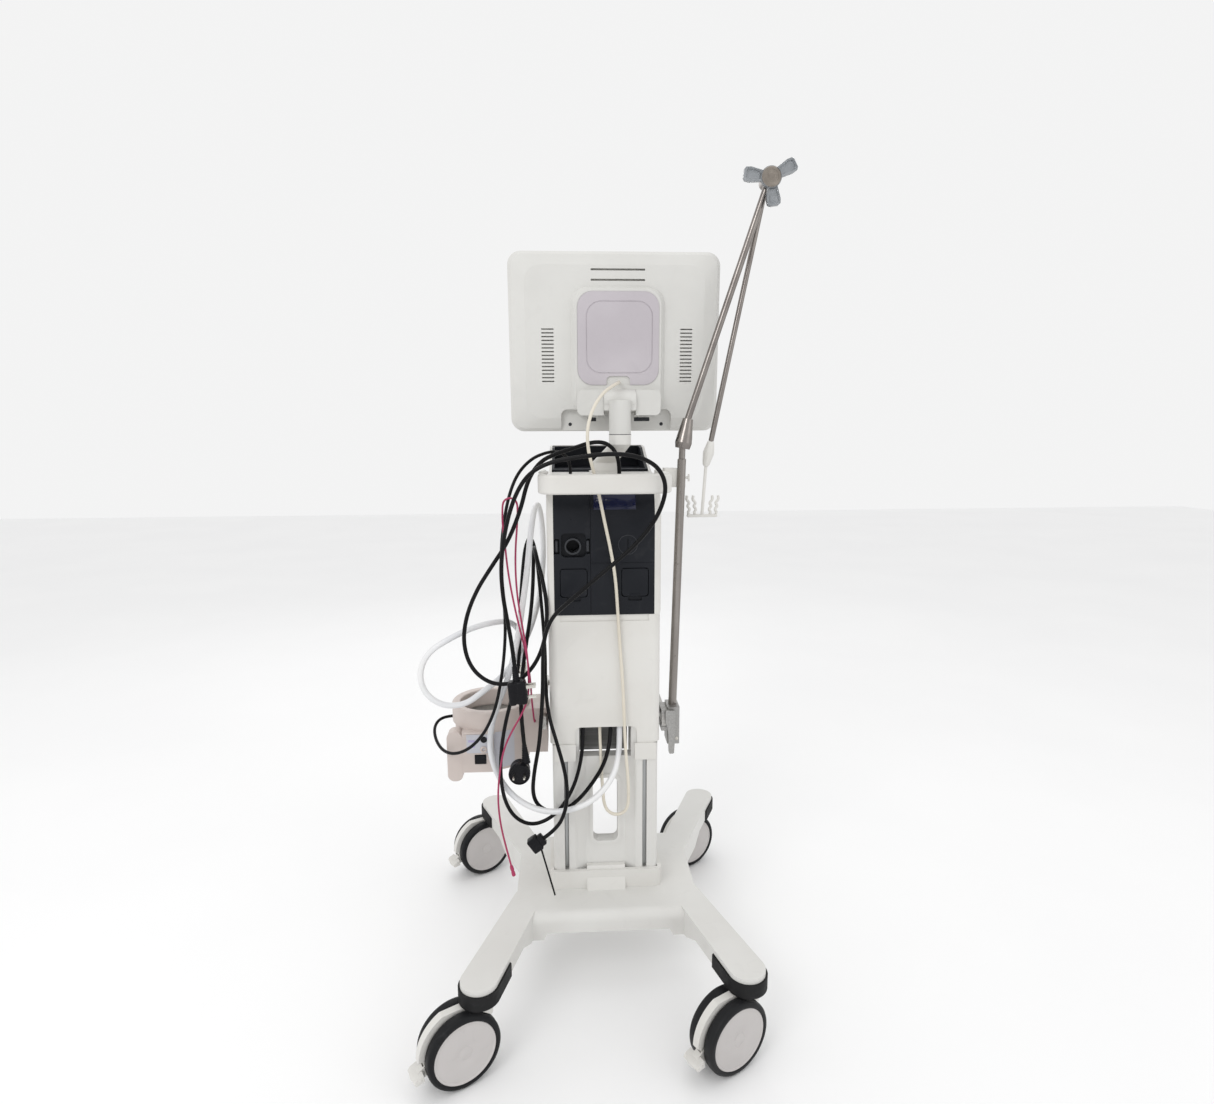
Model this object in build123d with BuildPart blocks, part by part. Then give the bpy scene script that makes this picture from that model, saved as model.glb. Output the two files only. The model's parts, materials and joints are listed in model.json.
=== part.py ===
from build123d import *
from math import cos, pi, radians, sin, tan
import os

# Intensive-care ventilator on a four-caster stand, in millimetres.
#
# Origin: on the floor under the centre of the column. +X is to the right of the
# handle side, +Y points from the handle side to the side the screen faces, +Z is up.

os.makedirs("parts", exist_ok=True)

# ---------------------------------------------------------------- driving dimensions
TOWER_WIDTH = 208
TOWER_FRONT = -56
TOWER_BACK = 244
TOWER_TOP = 957
COVER_BOTTOM = 453
SEAM_Z = 703
WALL = 4

BASE_TOP = 160
BASE_TIP_BOTTOM = 129
BASE_BOTTOM = 110
LEG_TIPS = {
    "front_left": (-220, -297),
    "front_right": (220, -297),
    "rear_left": (-245, 297),
    "rear_right": (245, 297),
}
LEG_TIP_RADIUS = 31

WHEEL_RADIUS = 62.5
TREAD = 21
TRAIL = 38
TRAIL_ANGLE = 210
AXLE_RADIUS = 5
RUNNING = 0.05

DISPLAY_WIDTH = 391.4
DISPLAY_HEIGHT = 324
DISPLAY_LEAN = 0.052
HINGE_Y = 18
HINGE_Z = 1092
STEM_X = 33
STEM_SEAM = 1030

POLE_RADIUS = 8
POLE_FOOT = (133, 0, 436)
POLE_HEAD = (149, 0, 1003)
ELBOW = (298, 0, 1474)
ARM_GAP = 17


def save(name, solid):
    """Write one finished piece under its own name."""
    solid.label = name
    export_step(solid, f"parts/{name}.step")
    print(f"{name:22s} {len(solid.solids())} solids {solid.volume / 1000:10.1f} cm3")


def between(start, end):
    """Plane at start whose normal points at end, and the distance to it."""
    way = Vector(end) - Vector(start)
    return Plane(origin=start, z_dir=way.normalized()), way.length


# ---------------------------------------------------------------- casters
trail_way = Vector(cos(radians(TRAIL_ANGLE)), sin(radians(TRAIL_ANGLE)), 0)
HOOD_RADIUS = 70
FIN_HALF = 4
WHEEL_INNER = 7.5
SWIVEL_RADIUS = 21
SWIVEL_TOP = 127.4
KINGPIN_RADIUS = 6
PEDAL_PIVOT = (50, -10)
PEDAL_PIN = 2.5


def make_caster(corner, tip_x, tip_y):
    """Twin-wheel caster: swivelling fork, wheels with their axle, and brake pedal."""
    ground = Plane(origin=(tip_x, tip_y, 0), x_dir=trail_way, z_dir=(0, 0, 1))
    axle_middle = ground.from_local_coords((TRAIL, 0, WHEEL_RADIUS))
    side_plane = Plane(
        origin=axle_middle, x_dir=trail_way, z_dir=trail_way.cross(Vector(0, 0, 1))
    )

    with BuildPart() as fork:
        with BuildSketch(ground.offset(102)):
            Circle(SWIVEL_RADIUS)
        extrude(amount=SWIVEL_TOP - 102)
        for side in (-1, 1):
            with BuildSketch(side_plane.offset(side * (WHEEL_INNER - 0.8))):
                Circle(WHEEL_RADIUS + 1.2)
            extrude(amount=side * 40, mode=Mode.SUBTRACT)
        with BuildSketch(side_plane) as fin:
            Circle(WHEEL_RADIUS - 1)
            with Locations((0, -62)):
                Rectangle(160, 70, mode=Mode.SUBTRACT)
            with Locations((-TRAIL, 48)):
                Rectangle(30, 30)
        extrude(amount=FIN_HALF, both=True)
        with BuildSketch(side_plane) as hood:
            Circle(HOOD_RADIUS)
            Circle(WHEEL_RADIUS - 6, mode=Mode.SUBTRACT)
            with Locations((0, -50)):
                Rectangle(160, 102, mode=Mode.SUBTRACT)
            with Locations((-82, 20)):
                Rectangle(60, 130, mode=Mode.SUBTRACT)
            with Locations((0, 100 + SWIVEL_TOP - WHEEL_RADIUS - 1)):
                Rectangle(160, 200, mode=Mode.SUBTRACT)
        extrude(amount=WHEEL_INNER - 0.9, both=True)
        with BuildSketch(ground.offset(SWIVEL_TOP - 1)):
            Circle(KINGPIN_RADIUS)
        extrude(amount=23)
        with BuildSketch(side_plane):
            Circle(AXLE_RADIUS + RUNNING)
            with Locations(PEDAL_PIVOT):
                Circle(PEDAL_PIN + RUNNING)
        extrude(amount=30, both=True, mode=Mode.SUBTRACT)
    save(f"{corner}_fork", fork.part)

    with BuildPart() as wheels:
        for side in (-1, 1):
            inner_face = side_plane.offset(side * WHEEL_INNER)
            with BuildSketch(inner_face):
                Circle(WHEEL_RADIUS)
                Circle(46, mode=Mode.SUBTRACT)
            extrude(amount=side * TREAD)
        rims = wheels.edges().filter_by(GeomType.CIRCLE)
        treads = [e for e in rims if abs(e.radius - WHEEL_RADIUS) < 0.1]
        fillet(treads, 6)
    with BuildPart() as hubs:
        for side in (-1, 1):
            with BuildSketch(side_plane.offset(side * WHEEL_INNER)):
                Circle(46)
                Circle(AXLE_RADIUS, mode=Mode.SUBTRACT)
            extrude(amount=side * (TREAD - 2))
    with BuildPart() as axle:
        with BuildSketch(side_plane):
            Circle(AXLE_RADIUS)
        extrude(amount=WHEEL_INNER + TREAD - 4, both=True)
    wheel_set = Compound(children=[*wheels.part.solids(), *hubs.part.solids(), *axle.part.solids()])
    save(f"{corner}_wheels", wheel_set)

    with BuildPart() as pedal:
        with BuildSketch(side_plane):
            with BuildLine():
                Polyline((44, -5), (60, -7), (67, -12), (76, -18), (75, -27), (60, -26), (44, -17), (44, -5))
            make_face()
        extrude(amount=6.6, both=True)
        with BuildSketch(side_plane):
            with BuildLine():
                Polyline((66, -13), (78, -18), (81, -23), (78, -27), (63.8, -25), (66, -13))
            make_face()
        extrude(amount=17, both=True)
        with BuildSketch(side_plane):
            Circle(WHEEL_RADIUS + 1.3)
        extrude(amount=4.6, both=True, mode=Mode.SUBTRACT)
        for side in (-1, 1):
            with BuildSketch(side_plane.offset(side * 6.7)):
                Circle(WHEEL_RADIUS + 1.2)
            extrude(amount=side * 20, mode=Mode.SUBTRACT)
        with BuildSketch(side_plane):
            with Locations(PEDAL_PIVOT):
                Circle(PEDAL_PIN)
        extrude(amount=6.6, both=True)
    save(f"{corner}_pedal", pedal.part)


for corner_name, (corner_x, corner_y) in LEG_TIPS.items():
    make_caster(corner_name, corner_x, corner_y)

# ---------------------------------------------------------------- base casting
LEG_ROOT_X = 150
LEG_ROOT_Y = 80
WAIST_HALF = 172
PLATFORM_HALF = 150
PLATFORM_FRONT = -142
PLATFORM_REAR = 142


def leg_outline(tip_x, tip_y):
    """Plan outline of one leg, from the platform to its round tip."""
    with BuildSketch(mode=Mode.PRIVATE) as leg:
        with Locations((tip_x, tip_y)):
            Circle(LEG_TIP_RADIUS)
        with Locations((LEG_ROOT_X * (1 if tip_x > 0 else -1), LEG_ROOT_Y * (1 if tip_y > 0 else -1))):
            Circle(27)
        make_hull()
    return leg.sketch


leg_plans = {corner: leg_outline(*tip) for corner, tip in LEG_TIPS.items()}

with BuildPart() as base_casting:
    with BuildSketch(Plane.XY.offset(BASE_BOTTOM)):
        for plan in leg_plans.values():
            add(plan)
        Rectangle(2 * WAIST_HALF, 2 * LEG_ROOT_Y + 20)
        Rectangle(2 * PLATFORM_HALF, PLATFORM_REAR - PLATFORM_FRONT)
    extrude(amount=BASE_TOP - BASE_BOTTOM)
    front_edges = base_casting.edges().filter_by(Axis.X).filter_by_position(Axis.Z, BASE_TOP - 1, BASE_TOP + 1)
    fillet(front_edges, 18)
    for way in (-1, 1):
        with BuildSketch(Plane.YZ) as underside:
            with BuildLine():
                Polyline(
                    (way * 150, BASE_BOTTOM - 5),
                    (way * 150, BASE_BOTTOM),
                    (way * 186, BASE_TIP_BOTTOM),
                    (way * 340, BASE_TIP_BOTTOM),
                    (way * 340, BASE_BOTTOM - 5),
                    (way * 150, BASE_BOTTOM - 5),
                )
            make_face()
        extrude(amount=320, both=True, mode=Mode.SUBTRACT)
        with BuildSketch(Plane.XZ):
            with BuildLine():
                Polyline((-124, 100), (-114, 123), (114, 123), (124, 100), (-124, 100))
            make_face()
        extrude(amount=200, both=True, mode=Mode.SUBTRACT)
    with BuildSketch(Plane.XY.offset(BASE_TIP_BOTTOM - 1)):
        for tip in LEG_TIPS.values():
            with Locations(tip):
                Circle(KINGPIN_RADIUS + RUNNING)
    extrude(amount=24, mode=Mode.SUBTRACT)
save("base_casting", base_casting.part)

BUMPER_BOTTOM = BASE_TIP_BOTTOM - 1
BUMPER_TOP = BASE_TOP - 8
with BuildPart() as leg_bumpers:
    with BuildSketch(Plane.XY.offset(BUMPER_BOTTOM)):
        for corner, tip in LEG_TIPS.items():
            offset(leg_plans[corner], amount=3.5, mode=Mode.ADD)
        with BuildSketch(mode=Mode.INTERSECT):
            for tip in LEG_TIPS.values():
                with Locations(tip):
                    Circle(66)
        for plan in leg_plans.values():
            add(plan, mode=Mode.SUBTRACT)
    extrude(amount=BUMPER_TOP - BUMPER_BOTTOM)
save("leg_bumpers", leg_bumpers.part)

# ---------------------------------------------------------------- column
COLUMN_HALF = 100
PILLAR_INNER = 52
COLUMN_TOP = 499
GROOVE_X = 75
WEB_FRONT = -46
WEB_BACK = -22

with BuildPart() as column:
    with BuildSketch(Plane.XY.offset(BASE_TOP)):
        for side in (-1, 1):
            with Locations((side * (COLUMN_HALF + PILLAR_INNER) / 2, 0)):
                RectangleRounded(COLUMN_HALF - PILLAR_INNER, -2 * TOWER_FRONT, 9)
            with Locations((side * GROOVE_X, TOWER_FRONT + 2.5)):
                Rectangle(8, 7, mode=Mode.SUBTRACT)
        with BuildLine():
            Polyline(
                (-PILLAR_INNER - 4, TOWER_FRONT + 2),
                (-PILLAR_INNER + 14, WEB_FRONT),
                (PILLAR_INNER - 14, WEB_FRONT),
                (PILLAR_INNER + 4, TOWER_FRONT + 2),
                (PILLAR_INNER + 4, WEB_BACK),
                (-PILLAR_INNER - 4, WEB_BACK),
                (-PILLAR_INNER - 4, TOWER_FRONT + 2),
            )
        make_face()
    extrude(amount=COLUMN_TOP - BASE_TOP)
    with BuildSketch(Plane.XZ.offset(-TOWER_FRONT)):
        with Locations((0, 315)):
            RectangleRounded(48, 130, 11)
    extrude(amount=-60, mode=Mode.SUBTRACT)
    with BuildSketch(Plane.XZ.offset(-TOWER_FRONT + 5)):
        with Locations((0, 471)):
            Rectangle(2 * PILLAR_INNER - 6, 94)
    extrude(amount=-60, mode=Mode.SUBTRACT)
    with BuildSketch(Plane.XZ.offset(-WEB_FRONT)):
        with Locations((0, 315)):
            RectangleRounded(60, 144, 16)
            RectangleRounded(48, 130, 11, mode=Mode.SUBTRACT)
    extrude(amount=2.5)
    with BuildSketch(Plane.XY.offset(COVER_BOTTOM - 3)):
        Rectangle(2 * COLUMN_HALF + 10, 130)
        with Locations((0, 2)):
            RectangleRounded(2 * COLUMN_HALF - 8, -2 * TOWER_FRONT - 4.4, 9, mode=Mode.SUBTRACT)
    extrude(amount=60, mode=Mode.SUBTRACT)
save("column", column.part)

COLLAR_TOP = 197
with BuildPart() as column_collars:
    with BuildSketch(Plane.XY.offset(BASE_TOP)):
        RectangleRounded(2 * COLUMN_HALF + 16, 128, 12)
        with BuildSketch(mode=Mode.SUBTRACT):
            Rectangle(2 * COLUMN_HALF + 0.2, 112.2)
    extrude(amount=COLLAR_TOP - BASE_TOP)
    with BuildSketch(Plane.YZ):
        with BuildLine():
            Polyline((-72, BASE_TOP), (-56.5, COLLAR_TOP + 6), (-46.5, COLLAR_TOP + 6), (-46.5, BASE_TOP), (-72, BASE_TOP))
        make_face()
    extrude(amount=37, both=True)
    for side in (-1, 1):
        with BuildSketch(Plane.XY.offset(420)):
            with Locations((side * (COLUMN_HALF + PILLAR_INNER) / 2, TOWER_FRONT - 1.6)):
                Rectangle(COLUMN_HALF - PILLAR_INNER - 8, 3)
        extrude(amount=COVER_BOTTOM - 420)
save("column_collars", column_collars.part)

# ---------------------------------------------------------------- tower shells
TOWER_HALF = TOWER_WIDTH / 2
MIDDLE_Y = (TOWER_FRONT + TOWER_BACK) / 2
SPLIT_Y = 94
CHASSIS_Z = 500

with BuildPart() as lower_ring:
    with BuildSketch(Plane.XY.offset(COVER_BOTTOM)):
        with Locations((0, MIDDLE_Y)):
            RectangleRounded(TOWER_WIDTH, TOWER_BACK - TOWER_FRONT, 16)
            RectangleRounded(TOWER_WIDTH - 2 * WALL, TOWER_BACK - TOWER_FRONT - 2 * WALL, 12, mode=Mode.SUBTRACT)
    extrude(amount=SEAM_Z - COVER_BOTTOM)

with BuildPart() as lower_front_cover:
    add(lower_ring.part)
    with Locations((0, SPLIT_Y + 200, 600)):
        Box(400, 400, 600, mode=Mode.SUBTRACT)
    with BuildSketch(Plane.XZ.offset(-TOWER_FRONT + 1)):
        with Locations((1.5, COVER_BOTTOM + 4)):
            RectangleRounded(117, 58, 12)
    extrude(amount=-WALL - 2, mode=Mode.SUBTRACT)
    with BuildSketch(Plane.XZ.offset(-TOWER_FRONT)):
        with Locations((0, SEAM_Z - 4)):
            Rectangle(164, 16)
    extrude(amount=-2.2, mode=Mode.SUBTRACT)
save("lower_front_cover", lower_front_cover.part)

with BuildPart() as lower_rear_cover:
    add(lower_ring.part)
    with Locations((0, SPLIT_Y + 0.5 - 200, 600)):
        Box(400, 400, 600, mode=Mode.SUBTRACT)
    with BuildSketch(Plane.XZ.offset(-TOWER_BACK - 1)):
        with GridLocations(0, 12, 1, 9):
            with Locations((0, 640)):
                SlotOverall(110, 4)
    extrude(amount=WALL + 3, mode=Mode.SUBTRACT)
save("lower_rear_cover", lower_rear_cover.part)

with BuildPart() as chassis_plate:
    with BuildSketch(Plane.XY.offset(CHASSIS_Z)):
        with Locations((0, MIDDLE_Y)):
            Rectangle(TOWER_WIDTH - 2 * WALL - 0.4, TOWER_BACK - TOWER_FRONT - 2 * WALL - 0.4)
    extrude(amount=4)
    chassis_corners = chassis_plate.edges().filter_by(Axis.Z)
    fillet(chassis_corners, 13)
    with BuildSketch(Plane.XY.offset(CHASSIS_Z + 4)):
        with Locations((0, 60)):
            Rectangle(150, 3)
    extrude(amount=440)
    with BuildSketch(Plane.XY.offset(CHASSIS_Z - 100)):
        with Locations((0, 40)):
            Rectangle(2 * PILLAR_INNER - 6, 4)
    extrude(amount=101)
    with BuildSketch(Plane.XY.offset(CHASSIS_Z - 1)):
        with Locations((0, -12)):
            Rectangle(80, 40)
    extrude(amount=6, mode=Mode.SUBTRACT)
save("chassis_plate", chassis_plate.part)


def tower_profile(inset):
    """Side outline of the upper tower: flat front, rounded shoulder, flat top."""
    front = TOWER_FRONT + inset
    top = TOWER_TOP - inset
    bottom = SEAM_Z + inset
    back = TOWER_BACK - inset
    with BuildSketch(mode=Mode.PRIVATE) as outline:
        with BuildLine():
            Line((front, bottom), (front, 878))
            shoulder = TangentArc((front, 878), (front + 24, 938), tangent=(0, 1))
            Line(shoulder @ 1, (front + 36, top))
            Line((front + 36, top), (back, top))
            Line((back, top), (back, bottom))
            Line((back, bottom), (front, bottom))
        make_face()
    return outline.sketch


SHELL_INNER = 92
for side, side_name in ((-1, "left"), (1, "right")):
    with BuildPart() as side_shell:
        with BuildSketch(Plane.YZ.offset(side * SHELL_INNER)):
            add(tower_profile(0))
        extrude(amount=side * (TOWER_HALF - SHELL_INNER))
        outer_face = side_shell.faces().filter_by(Axis.X).sort_by(Axis.X)[-1 if side > 0 else 0]
        fillet(outer_face.edges(), 6)
        with BuildSketch(Plane.YZ.offset(side * SHELL_INNER)):
            add(tower_profile(WALL))
        extrude(amount=side * (TOWER_HALF - SHELL_INNER - WALL), mode=Mode.SUBTRACT)
    save(f"{side_name}_side_shell", side_shell.part)

with BuildPart() as rear_panel:
    with BuildSketch(Plane.XZ.offset(-TOWER_BACK)):
        with Locations((0, (SEAM_Z + TOWER_TOP - 6) / 2)):
            Rectangle(2 * SHELL_INNER - 0.4, TOWER_TOP - 6 - SEAM_Z)
    extrude(amount=WALL)
    with BuildSketch(Plane.XZ.offset(-TOWER_BACK)):
        with Locations((-50, 760), (-15, 760)):
            Circle(11)
    extrude(amount=-16)
    with BuildSketch(Plane.XZ.offset(-TOWER_BACK - 16)):
        with Locations((-50, 760), (-15, 760)):
            Circle(6)
    extrude(amount=24, mode=Mode.SUBTRACT)
    with BuildSketch(Plane.XZ.offset(-TOWER_BACK)):
        with Locations((52, 765)):
            RectangleRounded(48, 30, 4)
    extrude(amount=WALL, mode=Mode.SUBTRACT)
    with BuildSketch(Plane.XZ.offset(-TOWER_BACK)):
        with Locations((0, 870)):
            with GridLocations(0, 10, 1, 8):
                SlotOverall(120, 4)
    extrude(amount=WALL, mode=Mode.SUBTRACT)
save("rear_panel", rear_panel.part)

# ---------------------------------------------------------------- front modules
MODULE_THICKNESS = 20
MODULE_SPLIT = -25
MODULE_TOP = 944
PORT_X = -57
PORT_Z = 831
PORT_RADIUS = 15
PORT_BORE = 12
DOOR_WIDTH = 49
DOOR_HEIGHT = 52
DOOR_Z = 763
LEFT_DOOR_X = -56
RIGHT_DOOR_X = 56
DOOR_AXIS_DROP = 2
LOCK_X = 43
LOCK_Z = 833
LOCK_RADIUS = 18


def module_band(low_x, high_x):
    """Curved fascia between two X positions."""
    with BuildPart(mode=Mode.PRIVATE) as band:
        with BuildSketch(Plane.YZ.offset(low_x)):
            add(tower_profile(0))
            add(tower_profile(MODULE_THICKNESS), mode=Mode.SUBTRACT)
        extrude(amount=high_x - low_x)
        with Locations(((low_x + high_x) / 2, 200, 830)):
            Box(400, 400, 400, mode=Mode.SUBTRACT)
        with Locations((0, 0, MODULE_TOP + 50)):
            Box(400, 400, 100, mode=Mode.SUBTRACT)
        with Locations((0, 0, SEAM_Z + 0.3 - 50)):
            Box(400, 400, 100, mode=Mode.SUBTRACT)
    return band.part


def door_pocket(door_x):
    """Space behind a hinged door, with its pin holes and the finger scoop below it."""
    with BuildPart(mode=Mode.PRIVATE) as pocket:
        with BuildSketch(Plane.XZ.offset(-TOWER_FRONT)):
            with Locations((door_x, DOOR_Z + 0.4)):
                RectangleRounded(DOOR_WIDTH + 1.4, DOOR_HEIGHT + 1.8, 5.5)
        extrude(amount=-15)
        with BuildSketch(Plane.YZ.offset(door_x)):
            with Locations((TOWER_FRONT + 2, DOOR_Z + DOOR_HEIGHT / 2 - DOOR_AXIS_DROP)):
                Circle(1.25)
        extrude(amount=DOOR_WIDTH / 2 + 3, both=True)
        with BuildSketch(Plane.XZ.offset(-TOWER_FRONT)):
            with Locations((door_x, DOOR_Z - DOOR_HEIGHT / 2 - 4)):
                RectangleRounded(26, 8, 3)
        extrude(amount=-4)
    return pocket.part


with BuildPart() as cassette_module:
    add(module_band(-SHELL_INNER, MODULE_SPLIT - 0.3))
    with BuildSketch(Plane.XZ.offset(-TOWER_FRONT + 1)):
        with Locations((PORT_X + 1, PORT_Z + 2)):
            RectangleRounded(45, 44, 8)
        for latch_x in (-86.5, -30):
            with Locations((latch_x, PORT_Z)):
                Rectangle(8 if latch_x > -50 else 11, 28)
    extrude(amount=-12, mode=Mode.SUBTRACT)
    with BuildSketch(Plane.XZ.offset(-TOWER_FRONT)):
        with Locations((PORT_X, PORT_Z)):
            Circle(PORT_RADIUS)
    extrude(amount=-30, mode=Mode.SUBTRACT)
    for latch_x in (-86.5, -30):
        with BuildSketch(Plane.XZ.offset(-TOWER_FRONT - 11)):
            with Locations((latch_x, PORT_Z)):
                RectangleRounded(5, 22, 2)
        extrude(amount=9)
    add(door_pocket(LEFT_DOOR_X), mode=Mode.SUBTRACT)
save("cassette_module", cassette_module.part)

with BuildPart() as right_module:
    add(module_band(MODULE_SPLIT + 0.3, SHELL_INNER))
    with BuildSketch(Plane.XZ.offset(-TOWER_FRONT)):
        with Locations((LOCK_X, LOCK_Z)):
            Circle(LOCK_RADIUS + 0.3)
    extrude(amount=-4, mode=Mode.SUBTRACT)
    with BuildSketch(Plane.XZ.offset(-TOWER_FRONT)):
        with Locations((LOCK_X, LOCK_Z)):
            Circle(4)
    extrude(amount=-12, mode=Mode.SUBTRACT)
    with BuildSketch(Plane.XZ.offset(-TOWER_FRONT)):
        with Locations((33.5, 800)):
            Rectangle(117, 0.8)
    extrude(amount=-1, mode=Mode.SUBTRACT)
    add(door_pocket(RIGHT_DOOR_X), mode=Mode.SUBTRACT)
save("right_module", right_module.part)

with BuildPart() as gas_port:
    with BuildSketch(Plane.XZ.offset(-TOWER_FRONT + 1)):
        with Locations((PORT_X, PORT_Z)):
            Circle(PORT_RADIUS)
    extrude(amount=-46)
    with BuildSketch(Plane.XZ.offset(-TOWER_FRONT + 1)):
        with Locations((PORT_X, PORT_Z)):
            Circle(PORT_BORE)
    extrude(amount=-42, mode=Mode.SUBTRACT)
save("gas_port", gas_port.part)

for door_x, door_name in ((LEFT_DOOR_X, "left_door"), (RIGHT_DOOR_X, "right_door")):
    with BuildPart() as door:
        with BuildSketch(Plane.XZ.offset(-TOWER_FRONT)):
            with Locations((door_x, DOOR_Z)):
                RectangleRounded(DOOR_WIDTH, DOOR_HEIGHT, 7)
        extrude(amount=-4)
        top_edges = door.edges().filter_by(Axis.X).group_by(Axis.Z)[-1]
        fillet(top_edges, 1.6)
        with BuildSketch(Plane.XZ.offset(-TOWER_FRONT)):
            with Locations((door_x, DOOR_Z - DOOR_HEIGHT / 2 + 3)):
                SlotOverall(18, 2.6)
        extrude(amount=1.4)
        with BuildSketch(Plane.YZ.offset(door_x)):
            with Locations((TOWER_FRONT + 2, DOOR_Z + DOOR_HEIGHT / 2 - DOOR_AXIS_DROP)):
                Circle(1.2)
        extrude(amount=DOOR_WIDTH / 2 + 2.5, both=True)
    save(door_name, door.part)

with BuildPart() as coin_lock:
    with BuildSketch(Plane.XZ.offset(-TOWER_FRONT)):
        with Locations((LOCK_X, LOCK_Z)):
            Circle(LOCK_RADIUS)
    extrude(amount=-3.6)
    with BuildSketch(Plane.XZ.offset(-TOWER_FRONT - 3.6)):
        with Locations((LOCK_X, LOCK_Z)):
            Circle(3.95)
    extrude(amount=-6)
    with BuildSketch(Plane.XZ.offset(-TOWER_FRONT)):
        with Locations((LOCK_X, LOCK_Z)):
            Rectangle(2.2, 22)
    extrude(amount=-2.2, mode=Mode.SUBTRACT)
save("coin_lock", coin_lock.part)

# ---------------------------------------------------------------- internal units
with BuildPart() as battery_packs:
    with GridLocations(94, 0, 2, 1):
        with Locations((0, 140, 560)):
            Box(84, 130, 100)
    fillet(battery_packs.edges().filter_by(Axis.Z), 4)
save("battery_packs", battery_packs.part)

with BuildPart() as valve_block:
    with Locations((-45, 25, 800)):
        Box(70, 60, 120)
    with Locations((45, 25, 790)):
        Box(70, 60, 100)
    with Locations((0, 25, 800)):
        Cylinder(10, 60, rotation=(0, 90, 0))
save("valve_block", valve_block.part)

with BuildPart() as control_board:
    with Locations((0, 150, 790)):
        Box(160, 2, 160)
    with Locations((-40, 158, 800), (40, 158, 800), (0, 158, 740)):
        Box(38, 14, 30)
save("control_board", control_board.part)

# ---------------------------------------------------------------- top cover, tray and handle
STEM_BASE = (7.5, 60)
with BuildPart() as top_cover:
    with BuildSketch(Plane.XY.offset(TOWER_TOP - 6)):
        with Locations((0, 102.9)):
            Rectangle(2 * SHELL_INNER - 0.4, 274)
    extrude(amount=6)
    with BuildSketch(Plane.YZ) as cheek:
        with BuildLine():
            Polyline((70, TOWER_TOP), (130, 974), (206, 1003), (244, 1006), (244, TOWER_TOP), (70, TOWER_TOP))
        make_face()
    extrude(amount=TOWER_HALF - 4, both=True)
    with BuildSketch(Plane.YZ):
        with BuildLine():
            Polyline((60, TOWER_TOP), (60, 1010), (240, 1010), (240, TOWER_TOP), (60, TOWER_TOP))
        make_face()
    extrude(amount=95, both=True, mode=Mode.SUBTRACT)
    with BuildSketch(Plane.XY.offset(TOWER_TOP)):
        with Locations(STEM_BASE):
            Circle(30)
    extrude(amount=4)
    with BuildSketch(Plane.XY.offset(TOWER_TOP - 7)):
        with Locations(STEM_BASE):
            Circle(12 + RUNNING)
    extrude(amount=20, mode=Mode.SUBTRACT)
save("top_cover", top_cover.part)

TRAY_FRONT = 92
with BuildPart() as rear_tray:
    with BuildSketch(Plane.YZ):
        with BuildLine():
            Polyline(
                (TRAY_FRONT, TOWER_TOP), (TRAY_FRONT, 962), (132, 973), (204, 1001), (239.8, 1004),
                (239.8, TOWER_TOP), (TRAY_FRONT, TOWER_TOP),
            )
        make_face()
    extrude(amount=94.8, both=True)
    with BuildSketch(Plane.YZ):
        with BuildLine():
            Polyline((TRAY_FRONT + 4, 960), (TRAY_FRONT + 4, 1020), (235, 1020), (235, 960), (TRAY_FRONT + 4, 960))
        make_face()
    extrude(amount=90, both=True, mode=Mode.SUBTRACT)
save("rear_tray", rear_tray.part)

HANDLE_FRONT = -122
HANDLE_BACK = 88
HANDLE_HALF = 117
with BuildPart() as handle:
    with BuildSketch(Plane.XY.offset(930)):
        with Locations((0, (HANDLE_FRONT + HANDLE_BACK) / 2)):
            RectangleRounded(2 * HANDLE_HALF, HANDLE_BACK - HANDLE_FRONT, 34)
            with Locations((0, 24)):
                RectangleRounded(TOWER_WIDTH + 0.02, HANDLE_BACK - HANDLE_FRONT, 18, mode=Mode.SUBTRACT)
            with Locations((0, 117)):
                Rectangle(2 * HANDLE_HALF + 2, 80, mode=Mode.SUBTRACT)
    extrude(amount=34)
    fillet(handle.faces().filter_by(Axis.Z).edges(), 5)
save("handle", handle.part)

# ---------------------------------------------------------------- display stand
with BuildPart() as display_arm:
    with BuildSketch(Plane.XY.offset(TOWER_TOP - 5)):
        with Locations(STEM_BASE):
            Circle(12)
    extrude(amount=9.2)
    with BuildSketch(Plane.XY.offset(TOWER_TOP + 4.2)):
        with Locations(STEM_BASE):
            Circle(25)
    extrude(amount=16)
    with BuildSketch(Plane.XY.offset(TOWER_TOP + 20)):
        with Locations(STEM_BASE):
            Circle(24)
    with BuildSketch(Plane.XY.offset(1012)):
        with Locations((STEM_X, 0)):
            Circle(20.5)
    loft(ruled=True)
    with BuildSketch(Plane.XY.offset(1012)):
        with Locations((STEM_X, 0)):
            Circle(20.5)
    extrude(amount=STEM_SEAM - 1012 - 0.3)
    with BuildSketch(Plane.XY.offset(STEM_SEAM - 25)):
        with Locations((STEM_X, 0)):
            Circle(9 + RUNNING)
    extrude(amount=30, mode=Mode.SUBTRACT)
save("display_arm", display_arm.part)

BARREL_RADIUS = 20
HEAD_LOW = 4
HEAD_HIGH = 63
with BuildPart() as display_head:
    with BuildSketch(Plane.XY.offset(STEM_SEAM - 23)):
        with Locations((STEM_X, 0)):
            Circle(9)
    extrude(amount=25)
    with BuildSketch(Plane.XY.offset(STEM_SEAM)):
        with Locations((STEM_X, 0)):
            Circle(20)
    extrude(amount=HINGE_Z - STEM_SEAM)
    with BuildSketch(Plane.YZ.offset(HEAD_LOW)):
        with Locations((HINGE_Y, HINGE_Z)):
            Circle(BARREL_RADIUS)
        with Locations((9, HINGE_Z - 9)):
            Rectangle(18, 18)
    extrude(amount=HEAD_HIGH - HEAD_LOW)
    with BuildSketch(Plane.YZ.offset(HEAD_LOW - 9)):
        with Locations((HINGE_Y, HINGE_Z)):
            Circle(6)
    extrude(amount=HEAD_HIGH - HEAD_LOW + 18)
save("display_head", display_head.part)

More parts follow.
